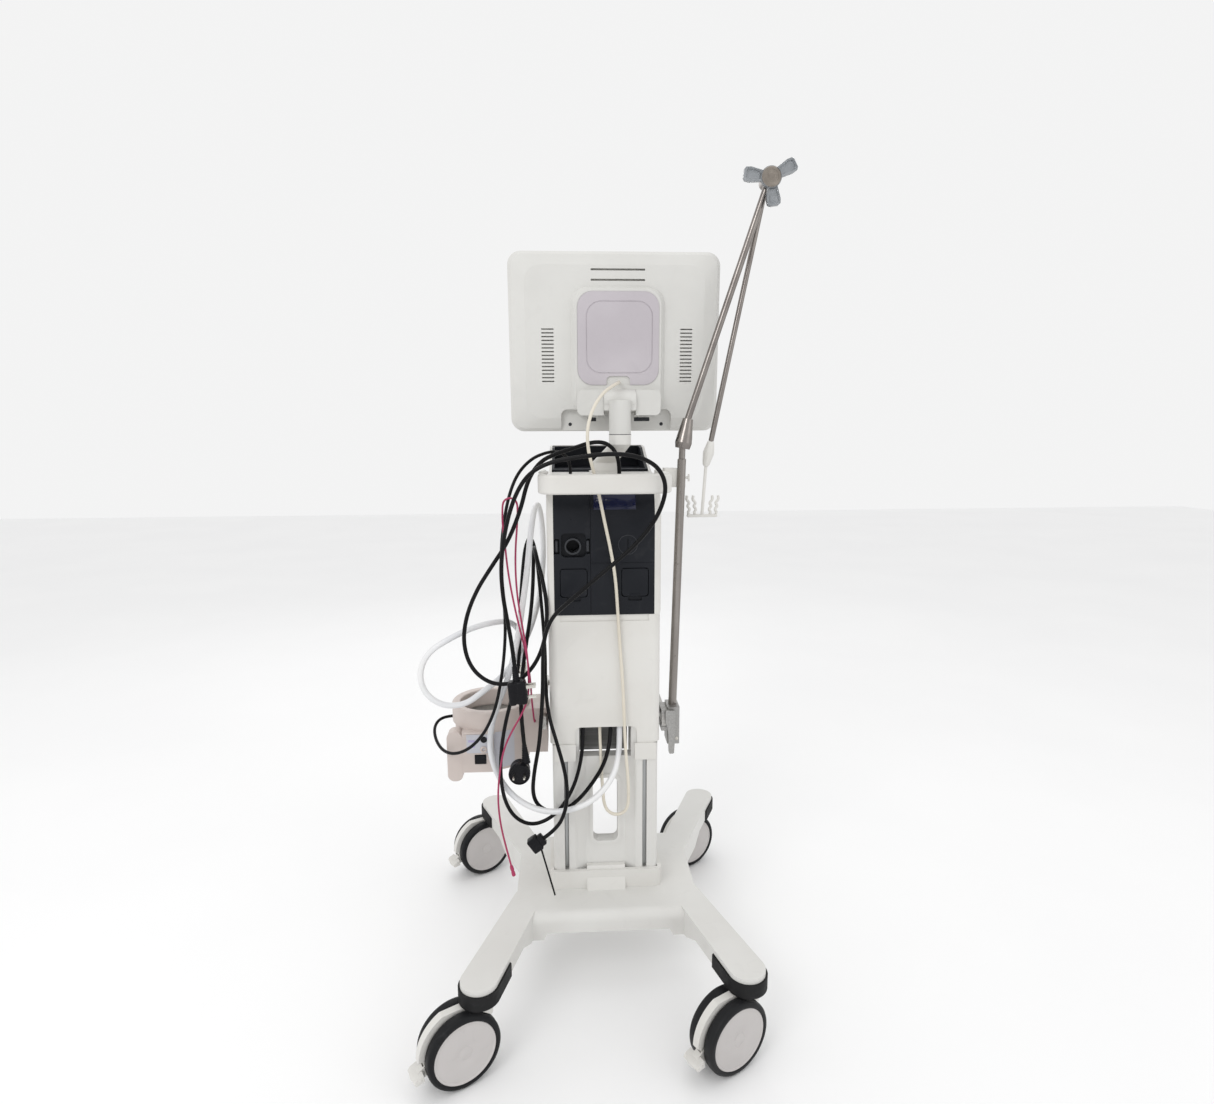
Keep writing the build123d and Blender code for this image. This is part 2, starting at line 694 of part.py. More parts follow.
# ---------------------------------------------------------------- display
display_plane = Plane(
    origin=(26.5, 57, 1036.6),
    x_dir=(1, 0, 0),
    z_dir=(0, -cos(DISPLAY_LEAN), -sin(DISPLAY_LEAN)),
)
DISPLAY_MIDDLE = DISPLAY_HEIGHT / 2
POD_X = 5.5
POD_WIDTH = 158
COVER_WIDTH = 150
COVER_LOW = 86
COVER_HIGH = 252

with BuildPart() as display_rear_shell:
    with BuildSketch(display_plane.offset(-16)):
        with Locations((0, DISPLAY_MIDDLE)):
            RectangleRounded(DISPLAY_WIDTH, DISPLAY_HEIGHT, 25)
    extrude(amount=16)
    with BuildSketch(display_plane):
        with Locations((0, DISPLAY_MIDDLE)):
            RectangleRounded(DISPLAY_WIDTH, DISPLAY_HEIGHT, 25)
    with BuildSketch(display_plane.offset(7)):
        with Locations((0, DISPLAY_MIDDLE)):
            RectangleRounded(DISPLAY_WIDTH - 12, DISPLAY_HEIGHT - 12, 22)
    with BuildSketch(display_plane.offset(13)):
        with Locations((0, DISPLAY_MIDDLE)):
            RectangleRounded(DISPLAY_WIDTH - 60, DISPLAY_HEIGHT - 50, 30)
    loft(ruled=True)
    with BuildSketch(display_plane.offset(8)):
        with Locations((POD_X, 146)):
            RectangleRounded(POD_WIDTH + 24, 236, 34)
    with BuildSketch(display_plane.offset(24)):
        with Locations((POD_X, 146)):
            RectangleRounded(POD_WIDTH, 222, 30)
    loft(ruled=True)
    with BuildSketch(display_plane.offset(24)):
        with Locations((POD_X, (COVER_LOW + COVER_HIGH) / 2)):
            RectangleRounded(COVER_WIDTH + 0.6, COVER_HIGH - COVER_LOW + 0.6, 28)
    extrude(amount=-2, mode=Mode.SUBTRACT)
    with BuildSketch(display_plane.offset(-13)):
        with Locations((POD_X, 54)):
            RectangleRounded(POD_WIDTH - 4, 46, 10)
    extrude(amount=13 + 48)
    with BuildSketch(display_plane.offset(14)):
        with Locations((2.5, 18)):
            RectangleRounded(208, 46, 12)
    extrude(amount=-12, mode=Mode.SUBTRACT)
    with BuildSketch(display_plane.offset(-16)):
        with Locations((0, DISPLAY_MIDDLE)):
            RectangleRounded(DISPLAY_WIDTH - 8, DISPLAY_HEIGHT - 8, 21)
    extrude(amount=13, mode=Mode.SUBTRACT)
    with BuildSketch(display_plane.offset(14)):
        with Locations((POD_X, 273), (POD_X, 291)):
            SlotOverall(100, 3.6)
        for vent_x in (-124.5, 133):
            with Locations((vent_x, 139.5)):
                with GridLocations(0, 6.7, 1, 15):
                    SlotOverall(23, 2.4)
    extrude(amount=-12, mode=Mode.SUBTRACT)
    with BuildSketch(Plane.YZ.offset(HEAD_LOW - 0.4)):
        with Locations((HINGE_Y, HINGE_Z)):
            Circle(BARREL_RADIUS + 0.6)
        with Locations((HINGE_Y - 30, HINGE_Z - 2)):
            Rectangle(70, 2 * BARREL_RADIUS + 8)
        with Locations((HINGE_Y - 14, HINGE_Z - 30)):
            Rectangle(70, 60)
    extrude(amount=HEAD_HIGH - HEAD_LOW + 0.8, mode=Mode.SUBTRACT)
    with BuildSketch(Plane.YZ.offset(HEAD_LOW - 12)):
        with Locations((HINGE_Y, HINGE_Z)):
            Circle(6 + RUNNING)
    extrude(amount=HEAD_HIGH - HEAD_LOW + 24, mode=Mode.SUBTRACT)
save("display_rear_shell", display_rear_shell.part)

with BuildPart() as display_bezel:
    with BuildSketch(display_plane.offset(-16)):
        with Locations((0, DISPLAY_MIDDLE)):
            RectangleRounded(DISPLAY_WIDTH, DISPLAY_HEIGHT, 25)
            Rectangle(352, 284, mode=Mode.SUBTRACT)
    extrude(amount=-16)
    front_face = display_bezel.faces().sort_by(Axis.Y)[-1]
    fillet(front_face.outer_wire().edges(), 5)
save("display_bezel", display_bezel.part)

with BuildPart() as display_glass:
    with BuildSketch(display_plane.offset(-22)):
        with Locations((0, DISPLAY_MIDDLE)):
            Rectangle(352, 284)
    extrude(amount=-9)
save("display_glass", display_glass.part)

with BuildPart() as membrane_cover:
    with BuildSketch(display_plane.offset(22)):
        with Locations((POD_X, (COVER_LOW + COVER_HIGH) / 2)):
            RectangleRounded(COVER_WIDTH, COVER_HIGH - COVER_LOW, 28)
        with Locations((POD_X, COVER_LOW + 4)):
            RectangleRounded(44, 24, 8, mode=Mode.SUBTRACT)
    extrude(amount=3.4)
    with BuildSketch(display_plane.offset(25.4)):
        with Locations((POD_X + 2, 171)):
            RectangleRounded(123, 129, 28)
    extrude(amount=-1, mode=Mode.SUBTRACT)
    with BuildSketch(display_plane.offset(25.4)):
        with Locations((POD_X + 2, 171)):
            RectangleRounded(119, 125, 26)
    extrude(amount=-1)
save("membrane_cover", membrane_cover.part)

# ---------------------------------------------------------------- side rails and support arm
RAIL_X = 117
RAIL_Z = 482
with BuildPart() as side_rails:
    for side in (-1, 1):
        with Locations((side * RAIL_X, 105, RAIL_Z)):
            Box(10, 250, 25)
        with Locations((side * 108, 35, RAIL_Z), (side * 108, 215, RAIL_Z)):
            Cylinder(6, 8, rotation=(0, 90, 0))
    fillet(side_rails.edges().filter_by(Axis.Y), 2)
save("side_rails", side_rails.part)

pole_plane, pole_length = between(POLE_FOOT, POLE_HEAD)
KNUCKLE_PIVOT = pole_plane.from_local_coords((0, 0, pole_length + 10))
with BuildPart() as pole:
    with BuildSketch(pole_plane):
        Circle(POLE_RADIUS)
    extrude(amount=pole_length - 18)
    with BuildSketch(pole_plane):
        Circle(6)
    extrude(amount=pole_length + 15.5)
    with BuildSketch(Plane.XZ):
        with Locations((KNUCKLE_PIVOT.X, KNUCKLE_PIVOT.Z)):
            Circle(3 + RUNNING)
    extrude(amount=20, both=True, mode=Mode.SUBTRACT)
    shoulder_edges = [e for e in pole.edges().filter_by(GeomType.CIRCLE) if abs(e.radius - POLE_RADIUS) < 0.1]
    chamfer(shoulder_edges, 1)
save("pole", pole.part)

CLAMP_LOW = 444
CLAMP_HIGH = 508
LEVER_PIVOT = (129, 497)
with BuildPart() as rail_clamp:
    with BuildSketch(Plane.XY.offset(CLAMP_LOW - 10)):
        with Locations((134.5, 0)):
            RectangleRounded(24, 44, 3)
    extrude(amount=CLAMP_HIGH - CLAMP_LOW + 10)
    with BuildSketch(Plane.XZ.offset(-22)):
        with Locations((117, RAIL_Z)):
            Rectangle(12, 42)
            Rectangle(10.02, 25.02, mode=Mode.SUBTRACT)
        with Locations((113, RAIL_Z)):
            Rectangle(6, 16, mode=Mode.SUBTRACT)
    extrude(amount=44)
    with BuildSketch(pole_plane.offset(-0.2)):
        Circle(POLE_RADIUS + RUNNING)
    extrude(amount=100, mode=Mode.SUBTRACT)
    with BuildSketch(Plane.XZ.offset(23)):
        with Locations(LEVER_PIVOT):
            Circle(4 + RUNNING)
    extrude(amount=-16, mode=Mode.SUBTRACT)
save("rail_clamp", rail_clamp.part)

with BuildPart() as clamp_lever:
    with BuildSketch(Plane.XZ.offset(22.6)):
        with BuildLine():
            Polyline((118, 505), (136, 504), (137, 460), (135, 417), (125, 417), (124, 458), (118, 484), (118, 505))
        make_face()
    extrude(amount=8)
    fillet(clamp_lever.edges().filter_by(Axis.Y), 3)
    with BuildSketch(Plane.XZ.offset(10)):
        with Locations(LEVER_PIVOT):
            Circle(4)
    extrude(amount=14)
save("clamp_lever", clamp_lever.part)

with BuildPart() as pole_bracket:
    with BuildSketch(Plane.XY.offset(932)):
        with BuildLine():
            Polyline((117, 36), (117, 2), (156, 2), (156, 18), (132, 34), (117, 36))
        make_face()
    extrude(amount=35)
    with BuildSketch(pole_plane):
        Circle(POLE_RADIUS + 0.3)
    extrude(amount=pole_length, mode=Mode.SUBTRACT)
    with BuildSketch(Plane.YZ.offset(155)):
        with Locations((11, 949)):
            Circle(2.5)
    extrude(amount=9)
    with BuildSketch(Plane.YZ.offset(162)):
        with Locations((11, 949)):
            Ellipse(3, 7)
    extrude(amount=3)
save("pole_bracket", pole_bracket.part)

KNUCKLE_TOP = (159, 0, 1058)
knuckle_plane, knuckle_length = between(POLE_HEAD, KNUCKLE_TOP)
arm_plane, arm_length = between(KNUCKLE_TOP, ELBOW)
with BuildPart() as lower_arm:
    with BuildSketch(knuckle_plane.offset(1)):
        Circle(14)
    with BuildSketch(knuckle_plane.offset(12)):
        Circle(16)
    with BuildSketch(knuckle_plane.offset(knuckle_length)):
        Circle(9.5)
    loft(ruled=True)
    with BuildSketch(Plane(origin=POLE_HEAD, x_dir=(0, 1, 0), z_dir=knuckle_plane.z_dir)):
        Rectangle(12.6, 40)
    extrude(amount=19, mode=Mode.SUBTRACT)
    with BuildSketch(Plane.XZ):
        with Locations((KNUCKLE_PIVOT.X, KNUCKLE_PIVOT.Z)):
            Circle(3)
    extrude(amount=12, both=True)
    with BuildSketch(arm_plane.offset(-8)):
        Circle(6.2)
    extrude(amount=arm_length + 8 - 12)
    with BuildSketch(Plane.XZ.offset(6.5)):
        with Locations((ELBOW[0], ELBOW[2])):
            Circle(13)
    extrude(amount=-13)
    with BuildSketch(Plane.XZ.offset(10)):
        with Locations((ELBOW[0], ELBOW[2])):
            Circle(4 + RUNNING)
    extrude(amount=-20, mode=Mode.SUBTRACT)
save("lower_arm", lower_arm.part)

UPPER_END = (206, ARM_GAP, 1017)
SPIGOT_RADIUS = 3
upper_top = (ELBOW[0], ARM_GAP, ELBOW[2])
upper_plane, upper_length = between(upper_top, UPPER_END)
with BuildPart() as upper_arm:
    with BuildSketch(upper_plane.offset(10)):
        Circle(5)
    extrude(amount=upper_length - 10)
    with BuildSketch(upper_plane.offset(upper_length - 1)):
        Circle(SPIGOT_RADIUS)
    extrude(amount=16)
    with BuildSketch(Plane.XZ.offset(-ARM_GAP + 8.5)):
        with Locations((ELBOW[0], ELBOW[2])):
            Circle(12)
    extrude(amount=-17)
    with BuildSketch(Plane.XZ.offset(-ARM_GAP + 10)):
        with Locations((ELBOW[0], ELBOW[2])):
            Circle(4 + RUNNING)
    extrude(amount=-30, mode=Mode.SUBTRACT)
save("upper_arm", upper_arm.part)

LOBE_ANGLES = (29, 174, 278)
with BuildPart() as elbow_knob:
    with BuildSketch(Plane.XZ.offset(7.5)):
        with Locations((ELBOW[0], ELBOW[2])):
            Circle(20)
            for angle in LOBE_ANGLES:
                with Locations(Location((0, 0), angle)):
                    with Locations((29, 0)):
                        RectangleRounded(40, 17, 6)
    extrude(amount=10)
    with BuildSketch(Plane.XZ.offset(17.5)):
        with Locations((ELBOW[0], ELBOW[2])):
            Circle(14)
    extrude(amount=3)
    with BuildSketch(Plane.XZ.offset(8)):
        with Locations((ELBOW[0], ELBOW[2])):
            Circle(4)
    extrude(amount=-36)
    with BuildSketch(Plane.XZ.offset(-26)):
        with Locations((ELBOW[0], ELBOW[2])):
            Circle(9)
    extrude(amount=-3)
save("elbow_knob", elbow_knob.part)

COMB_BASE = (191, ARM_GAP, 879)
end_plane = Plane(origin=UPPER_END, z_dir=upper_plane.z_dir)
end_length = 48
holder_neck = end_plane.from_local_coords((0, 0, end_length))
rod_plane, rod_length = between(holder_neck, COMB_BASE)
with BuildPart() as tube_holder:
    with BuildSketch(end_plane.offset(1)):
        Circle(8)
    with BuildSketch(end_plane.offset(22)):
        Ellipse(13, 10)
    with BuildSketch(end_plane.offset(end_length)):
        Circle(7)
    loft()
    with BuildSketch(end_plane):
        Circle(SPIGOT_RADIUS + RUNNING)
    extrude(amount=17, mode=Mode.SUBTRACT)
    with BuildSketch(rod_plane.offset(-5)):
        Circle(3)
    extrude(amount=rod_length + 6)
    with Locations((COMB_BASE[0], ARM_GAP, COMB_BASE[2] - 3)):
        Box(58, 14, 6)
    with BuildSketch(Plane.XY.offset(COMB_BASE[2] - 1)):
        with Locations((165, ARM_GAP), (178, ARM_GAP), (206, ARM_GAP), (218, ARM_GAP)):
            RectangleRounded(5, 12, 2)
    extrude(amount=38)
save("tube_holder", tube_holder.part)

# ---------------------------------------------------------------- humidifier
HUMID_X = -222
HUMID_Y = 40
DRUM_RADIUS = 74
DRUM_BOTTOM = 395
RING_BOTTOM = 476
RING_TOP = 512
CORD_FLAT_X = -289
PANEL_Y = -40
SWITCH_X = -237
SWITCH_AXIS = (PANEL_Y + 3, 421)
with BuildPart() as humidifier_housing:
    with BuildSketch(Plane.XY.offset(DRUM_BOTTOM)):
        with Locations((HUMID_X, HUMID_Y)):
            Circle(DRUM_RADIUS)
        with Locations((-241.5, HUMID_Y - 40)):
            Rectangle(59, 80)
        with Locations((CORD_FLAT_X - 50, HUMID_Y)):
            Rectangle(100, 200, mode=Mode.SUBTRACT)
    extrude(amount=RING_BOTTOM - DRUM_BOTTOM)
    with BuildSketch(Plane.XZ.offset(38)):
        with Locations((-285.5, 426.5)):
            RectangleRounded(29, 99, 13)
    extrude(amount=-26)
    with BuildSketch(Plane.XY.offset(RING_BOTTOM)):
        with Locations((HUMID_X, HUMID_Y)):
            Circle(DRUM_RADIUS + 2)
            Circle(60, mode=Mode.SUBTRACT)
    extrude(amount=RING_TOP - RING_BOTTOM)
    fillet(humidifier_housing.edges().group_by(Axis.Z)[-1], 3)
    with BuildSketch(Plane.XY.offset(470)):
        with Locations((HUMID_X, HUMID_Y)):
            Circle(61)
    extrude(amount=10, mode=Mode.SUBTRACT)
    with Locations((-135, HUMID_Y, 460)):
        Box(50, 80, 90)
    with Locations((-RAIL_X + 4, HUMID_Y, RAIL_Z)):
        Box(18.04, 100, 25.04, mode=Mode.SUBTRACT)
    with BuildSketch(Plane.XZ.offset(-PANEL_Y)):
        with Locations((SWITCH_X, SWITCH_AXIS[1])):
            Rectangle(22, 19)
    extrude(amount=-12, mode=Mode.SUBTRACT)
    with BuildSketch(Plane.YZ.offset(SWITCH_X)):
        with Locations(SWITCH_AXIS):
            Circle(1.5 + RUNNING)
    extrude(amount=13, both=True, mode=Mode.SUBTRACT)
save("humidifier_housing", humidifier_housing.part)

with BuildPart() as heater_plate:
    with BuildSketch(Plane.XY.offset(470)):
        with Locations((HUMID_X, HUMID_Y)):
            Circle(59.5)
    extrude(amount=8)
save("heater_plate", heater_plate.part)

with BuildPart() as humidifier_switch:
    with Locations((SWITCH_X, *SWITCH_AXIS)):
        Box(21, 10, 17)
        Cylinder(1.5, 25, rotation=(0, 90, 0))
save("humidifier_switch", humidifier_switch.part)

# ---------------------------------------------------------------- cords and their ends
# Each route is a list of corners in order from the cord's fixed end.
DISPLAY_CABLE = [
    (33, 30.3, 1125.9), (33, 9, 1124.8), (22, -18, 1119), (1, -42, 1105), (-19, -56, 1077), (-30, -65, 1040),
    (-28, -71, 1001), (-18, -75, 963), (-9, -75, 922), (0, -71, 877), (11, -66, 826), (20, -63, 772),
    (24, -63, 704), (28, -63, 638), (33, -64, 572), (35, -66, 507), (37, -69, 449), (41, -71, 403),
    (43, -72, 364), (42, -72, 330), (29, -71, 316), (10, -69, 316), (-3, -66, 330), (-6, -62, 364),
    (-8, -56, 406), (-9, -53, 440), (-10, -42, 474), (-10, -42, 500),
]
MAINS_CORD_A = [
    (31, -8, 957), (31, -8, 981), (21, -17, 1004), (3, -29, 1017), (-23, -40, 1017), (-53, -50, 1007),
    (-85, -61, 998), (-114, -71, 984), (-135, -80, 952), (-147, -86, 903), (-171, -84, 845), (-202, -80, 800),
    (-230, -78, 757), (-250, -76, 709), (-257, -76, 661), (-246, -76, 616), (-218, -76, 587), (-182, -76, 579),
    (-147, -72, 593), (-121, -66, 627), (-107, -63, 674), (-105, -62, 723), (-112, -46, 766), (-122, -26, 799),
    (-128, 1, 819), (-131, 33, 817), (-133, 56, 790), (-135, 57, 738), (-139, 42, 690), (-147, 8, 640),
    (-154, -32, 593), (-157, -62, 550), (-155, -79, 508), (-151, -86, 468),
]
MAINS_CORD_B = [
    (11, -42, 500), (11, -42, 476), (7, -56, 445), (-4, -66, 414), (-25, -68, 380), (-49, -65, 348),
    (-75, -65, 327), (-103, -65, 321), (-128, -65, 334), (-139, -65, 360), (-135, -66, 404), (-124, -68, 460),
    (-119, -72, 517), (-115, -76, 572), (-114, -80, 626), (-111, -88, 671), (-96, -103, 713), (-64, -120, 745),
    (-27, -127, 778), (8, -130, 808), (42, -132, 837), (72, -134, 870), (93, -136, 906), (102, -136, 943),
    (91, -134, 973), (67, -132, 990), (37, -129, 998), (4, -125, 999), (-30, -120, 996), (-64, -114, 991),
    (-98, -108, 984), (-131, -104, 966), (-152, -102, 936), (-167, -100, 897), (-178, -98, 850), (-184, -95, 800),
    (-182, -93, 749), (-175, -93, 704), (-168, -96, 662), (-164, -99, 622),
]
HUMIDIFIER_CORD = [
    (-289, 62, 470), (-309, 62, 470), (-328, 50, 468), (-334, 24, 460), (-325, -10, 448), (-305, -44, 440),
    (-278, -66, 444), (-248, -78, 462), (-222, -80, 492), (-204, -74, 530), (-194, -60, 572), (-186, -56, 625),
    (-182, -54, 678), (-183, -54, 730), (-187, -54, 782), (-186, -52, 829), (-180, -46, 880), (-170, -38, 926),
    (-155, -26, 962), (-131, -10, 987), (-104, 4, 998), (-80, 16, 1000), (-65, 24, 989), (-59, 27, 972),
    (-59, 27, 957),
]
DATA_CORD = [
    (-42, -42, 500), (-42, -42, 476), (-43, -55, 445), (-49, -65, 412), (-61, -71, 374), (-83, -78, 338),
    (-110, -81, 315), (-142, -84, 307), (-172, -86, 324), (-190, -87, 360), (-196, -86, 406), (-194, -84, 455),
    (-186, -80, 504), (-174, -68, 548), (-163, -44, 588), (-159, -16, 634), (-159, -4, 686), (-155, 0, 738),
    (-151, 4, 782), (-147, 18, 817), (-141, 46, 834), (-135, 76, 825), (-129, 92, 795), (-124, 90, 740),
    (-118, 64, 676), (-112, 16, 612), (-112, -34, 565), (-106, -70, 517), (-91, -86, 470), (-78, -100, 426),
    (-72, -110, 386), (-77, -115, 348), (-93, -116, 316), (-117, -116, 299),
]
GAS_HOSE = [
    (28, -43, 500), (28, -43, 468), (26, -57, 436), (18, -74, 406), (-2, -88, 378), (-31, -95, 355),
    (-67, -96, 341), (-107, -92, 336), (-147, -82, 344), (-182, -73, 368), (-206, -66, 406), (-217, -62, 449),
    (-214, -60, 492), (-201, -56, 533), (-184, -50, 573), (-170, -46, 618), (-159, -40, 669), (-150, -36, 725),
    (-141, -34, 785), (-134, -30, 850), (-128, 12, 896), (-122, 72, 898), (-117, 118, 858), (-115, 124, 800),
    (-118, 114, 745), (-126, 88, 698), (-138, 54, 660), (-154, 18, 628), (-173, -12, 600), (-197, -32, 577),
    (-227, -46, 558), (-260, -58, 537), (-300, -66, 539), (-331, -70, 565), (-340, -68, 604), (-323, -63, 641),
    (-286, -56, 663), (-246, -46, 680), (-208, -28, 686), (-178, 2, 680), (-162, 32, 654), (-159, 44, 616),
    (-159, 44, 585),
]
PINK_LINE = [
    (-134, 0, 480), (-134, -10, 480), (-135, -18, 488), (-136, -24, 504), (-138, -34, 534), (-139, -46, 580),
    (-144, -58, 630), (-155, -66, 680), (-166, -66, 736), (-174, -66, 788), (-178, -66, 838), (-181.5, -66, 876),
    (-181, -66, 896), (-180, -66, 913), (-172.5, -66, 920.5), (-162, -66, 920.5), (-154.5, -66, 913),
    (-154, -65, 896), (-156, -64, 868), (-160, -62, 826), (-161, -58, 779), (-158, -56, 730), (-150, -62, 682),
    (-142, -77, 636), (-140, -84, 598), (-141, -84, 560), (-153, -85, 528), (-171, -92, 500), (-187, -98, 468), (-196, -100, 424),
    (-201, -99, 372), (-198, -98, 322), (-189, -96, 273), (-180, -94, 232),
]


def lay_cord(name, route, diameter):
    """Tube along straight runs joined by arcs as large as the runs allow."""
    corners = [Vector(*point) for point in route]
    radii = []
    for before, corner, after in zip(corners, corners[1:], corners[2:]):
        turn = radians((corner - before).get_angle(after - corner))
        shorter_run = min((corner - before).length, (after - corner).length)
        radii.append(0.45 * shorter_run / tan(turn / 2))
    with BuildPart() as cord:
        with BuildLine() as path:
            FilletPolyline(*corners, radius=radii)
        with BuildSketch(Plane(origin=corners[0], z_dir=corners[1] - corners[0])):
            Circle(diameter / 2)
        sweep(path=path.wire())
    length = path.wire().length
    filled = cord.part.volume / (pi * diameter**2 / 4 * length)
    print(f"{name}: length {length:.0f}, radii {min(radii):.0f} to {max(radii):.0f}, volume ratio {filled:.4f}")
    save(name, cord.part)


lay_cord("display_cable", DISPLAY_CABLE, 6)
lay_cord("mains_cord_a", MAINS_CORD_A, 7.5)
lay_cord("mains_cord_b", MAINS_CORD_B, 7.5)
lay_cord("humidifier_cord", HUMIDIFIER_CORD, 6)
lay_cord("data_cord", DATA_CORD, 7)
lay_cord("gas_hose", GAS_HOSE, 11)
lay_cord("pink_line", PINK_LINE, 3.5)


def end_of(route):
    """Plane across a route's last point, with its normal along the cord."""
    last, end = Vector(*route[-2]), Vector(*route[-1])
    return Plane(origin=end, x_dir=(1, 0, 0), z_dir=(end - last).normalized())


plug_a_plane = end_of(MAINS_CORD_B)
with BuildPart() as angled_plug:
    with BuildSketch(plug_a_plane):
        Circle(5)
    with BuildSketch(plug_a_plane.offset(26)):
        Circle(7)
    loft()
    with BuildSketch(plug_a_plane.offset(25)):
        RectangleRounded(33, 27, 7)
    extrude(amount=45)
    with BuildSketch(Plane(origin=plug_a_plane.from_local_coords((14, 0, 47)), z_dir=(1, 0, 0))):
        for pin_y, pin_z in ((-7, 9), (7, 9), (0, -11)):
            with Locations((pin_y, pin_z)):
                Rectangle(4, 6)
    extrude(amount=19)

plug_b_plane = end_of(MAINS_CORD_A)
with BuildPart() as round_plug:
    with BuildSketch(plug_b_plane):
        Circle(4.5)
    with BuildSketch(plug_b_plane.offset(34)):
        Circle(8)
    loft()
    with BuildSketch(Plane(origin=(-160, -72, 418), z_dir=(0, -1, 0))):
        Circle(20)
    extrude(amount=34)
    with BuildSketch(Plane(origin=(-160, -106, 418), z_dir=(0, -1, 0))):
        with Locations((-9.5, 0), (9.5, 0)):
            Circle(2.4)
    extrude(amount=18)

data_plane = end_of(DATA_CORD)
with BuildPart() as data_connector:
    with BuildSketch(data_plane):
        RectangleRounded(28, 18, 3)
    extrude(amount=30)
    with BuildSketch(Plane(origin=(-124, -116, 284), z_dir=(0.25, -0.02, -0.97))):
        Rectangle(3, 3)
    extrude(amount=104)

pink_plane = end_of(PINK_LINE)
with BuildPart() as line_connector:
    with BuildSketch(pink_plane):
        Circle(3.6)
    extrude(amount=22)

hose_plane = end_of(GAS_HOSE)
with BuildPart() as hose_probe:
    with BuildSketch(hose_plane):
        Circle(8.5)
    extrude(amount=22)
    with BuildSketch(hose_plane.offset(22)):
        Circle(6)
    extrude(amount=24)

end_parts = (angled_plug, round_plug, data_connector, line_connector, hose_probe)
save("cord_ends", Compound(children=[solid for end_part in end_parts for solid in end_part.part.solids()]))
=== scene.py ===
import json
from math import cos, pi, radians, sin, sqrt

import bmesh
import bpy
from mathutils import Euler, Matrix, Vector


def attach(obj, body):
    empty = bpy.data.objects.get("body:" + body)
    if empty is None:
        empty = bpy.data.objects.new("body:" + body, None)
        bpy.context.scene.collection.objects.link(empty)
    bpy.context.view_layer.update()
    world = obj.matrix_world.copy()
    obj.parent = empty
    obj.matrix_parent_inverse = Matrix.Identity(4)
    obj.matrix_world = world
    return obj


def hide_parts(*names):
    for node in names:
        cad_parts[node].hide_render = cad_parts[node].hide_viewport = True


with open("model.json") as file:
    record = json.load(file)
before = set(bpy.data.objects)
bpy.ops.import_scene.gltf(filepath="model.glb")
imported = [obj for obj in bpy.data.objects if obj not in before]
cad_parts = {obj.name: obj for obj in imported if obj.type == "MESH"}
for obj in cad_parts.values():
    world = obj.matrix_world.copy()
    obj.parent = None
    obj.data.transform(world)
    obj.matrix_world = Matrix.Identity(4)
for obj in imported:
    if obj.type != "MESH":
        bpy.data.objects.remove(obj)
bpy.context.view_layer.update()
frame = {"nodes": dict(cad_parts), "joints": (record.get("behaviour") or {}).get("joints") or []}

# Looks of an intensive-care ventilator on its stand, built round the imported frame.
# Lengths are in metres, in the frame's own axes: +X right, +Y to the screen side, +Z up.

nodes = frame["nodes"]
joints = {joint["name"]: joint for joint in frame["joints"]}
CORNERS = ("front_left", "front_right", "rear_left", "rear_right")

# ---------------------------------------------------------------- camera
SENSOR_MM, LENS_MM = 36, 22.33
CAMERA_PLACE = (-0.0707, -1.4018, 1.0414)
PITCH_DOWN, YAW, ROLL = 0.1627, -0.0561, -0.0047
camera_data = bpy.data.cameras.new("camera")
camera_data.sensor_width = SENSOR_MM
camera_data.lens = LENS_MM
camera = bpy.data.objects.new("camera", camera_data)
bpy.context.scene.collection.objects.link(camera)
camera.location = CAMERA_PLACE
facing = Euler((pi / 2 - PITCH_DOWN, 0, YAW)).to_matrix()
camera.rotation_euler = (facing @ Matrix.Rotation(ROLL, 3, "Z")).to_euler()
bpy.context.scene.camera = camera


# ---------------------------------------------------------------- materials
def new_material(name):
    """Node material with its shader and its coordinates in the row frame."""
    material = bpy.data.materials.new(name)
    material.use_nodes = True
    tree = material.node_tree
    place = tree.nodes.new("ShaderNodeTexCoord").outputs["Object"]
    return material, tree, tree.nodes["Principled BSDF"], place


def noise(tree, place, scale, detail=3.0, distortion=0.0, stretch=None):
    """Noise factor at a scale per metre, stretched along some axes if asked."""
    if stretch:
        mapping = tree.nodes.new("ShaderNodeMapping")
        mapping.inputs["Scale"].default_value = stretch
        tree.links.new(place, mapping.inputs["Vector"])
        place = mapping.outputs["Vector"]
    texture = tree.nodes.new("ShaderNodeTexNoise")
    texture.inputs["Scale"].default_value = scale
    texture.inputs["Detail"].default_value = detail
    texture.inputs["Distortion"].default_value = distortion
    tree.links.new(place, texture.inputs["Vector"])
    return texture.outputs["Fac"]


def spread(tree, factor, low, high, out_low, out_high):
    """Maps a factor's middle band to a range of values."""
    node = tree.nodes.new("ShaderNodeMapRange")
    limits = {"From Min": low, "From Max": high, "To Min": out_low, "To Max": out_high}
    for socket_name, value in limits.items():
        node.inputs[socket_name].default_value = value
    tree.links.new(factor, node.inputs["Value"])
    return node.outputs["Result"]


def mixed(tree, factor, first, second):
    """Colour mix; first and second are colours or sockets."""
    node = tree.nodes.new("ShaderNodeMix")
    node.data_type = "RGBA"
    tree.links.new(factor, node.inputs["Factor"])
    for letter, value in (("A", first), ("B", second)):
        socket = next(s for s in node.inputs if s.name == letter and s.type == "RGBA")
        if isinstance(value, tuple):
            socket.default_value = (*value, 1)
        else:
            tree.links.new(value, socket)
    return next(s for s in node.outputs if s.type == "RGBA")


def bumped(tree, shader, height, strength, distance):
    """Bump from a height factor, its distance in metres."""
    bump = tree.nodes.new("ShaderNodeBump")
    bump.inputs["Strength"].default_value = strength
    bump.inputs["Distance"].default_value = distance
    tree.links.new(height, bump.inputs["Height"])
    tree.links.new(bump.outputs["Normal"], shader.inputs["Normal"])


GREY_SCUFF = (0.055, 0.055, 0.058)


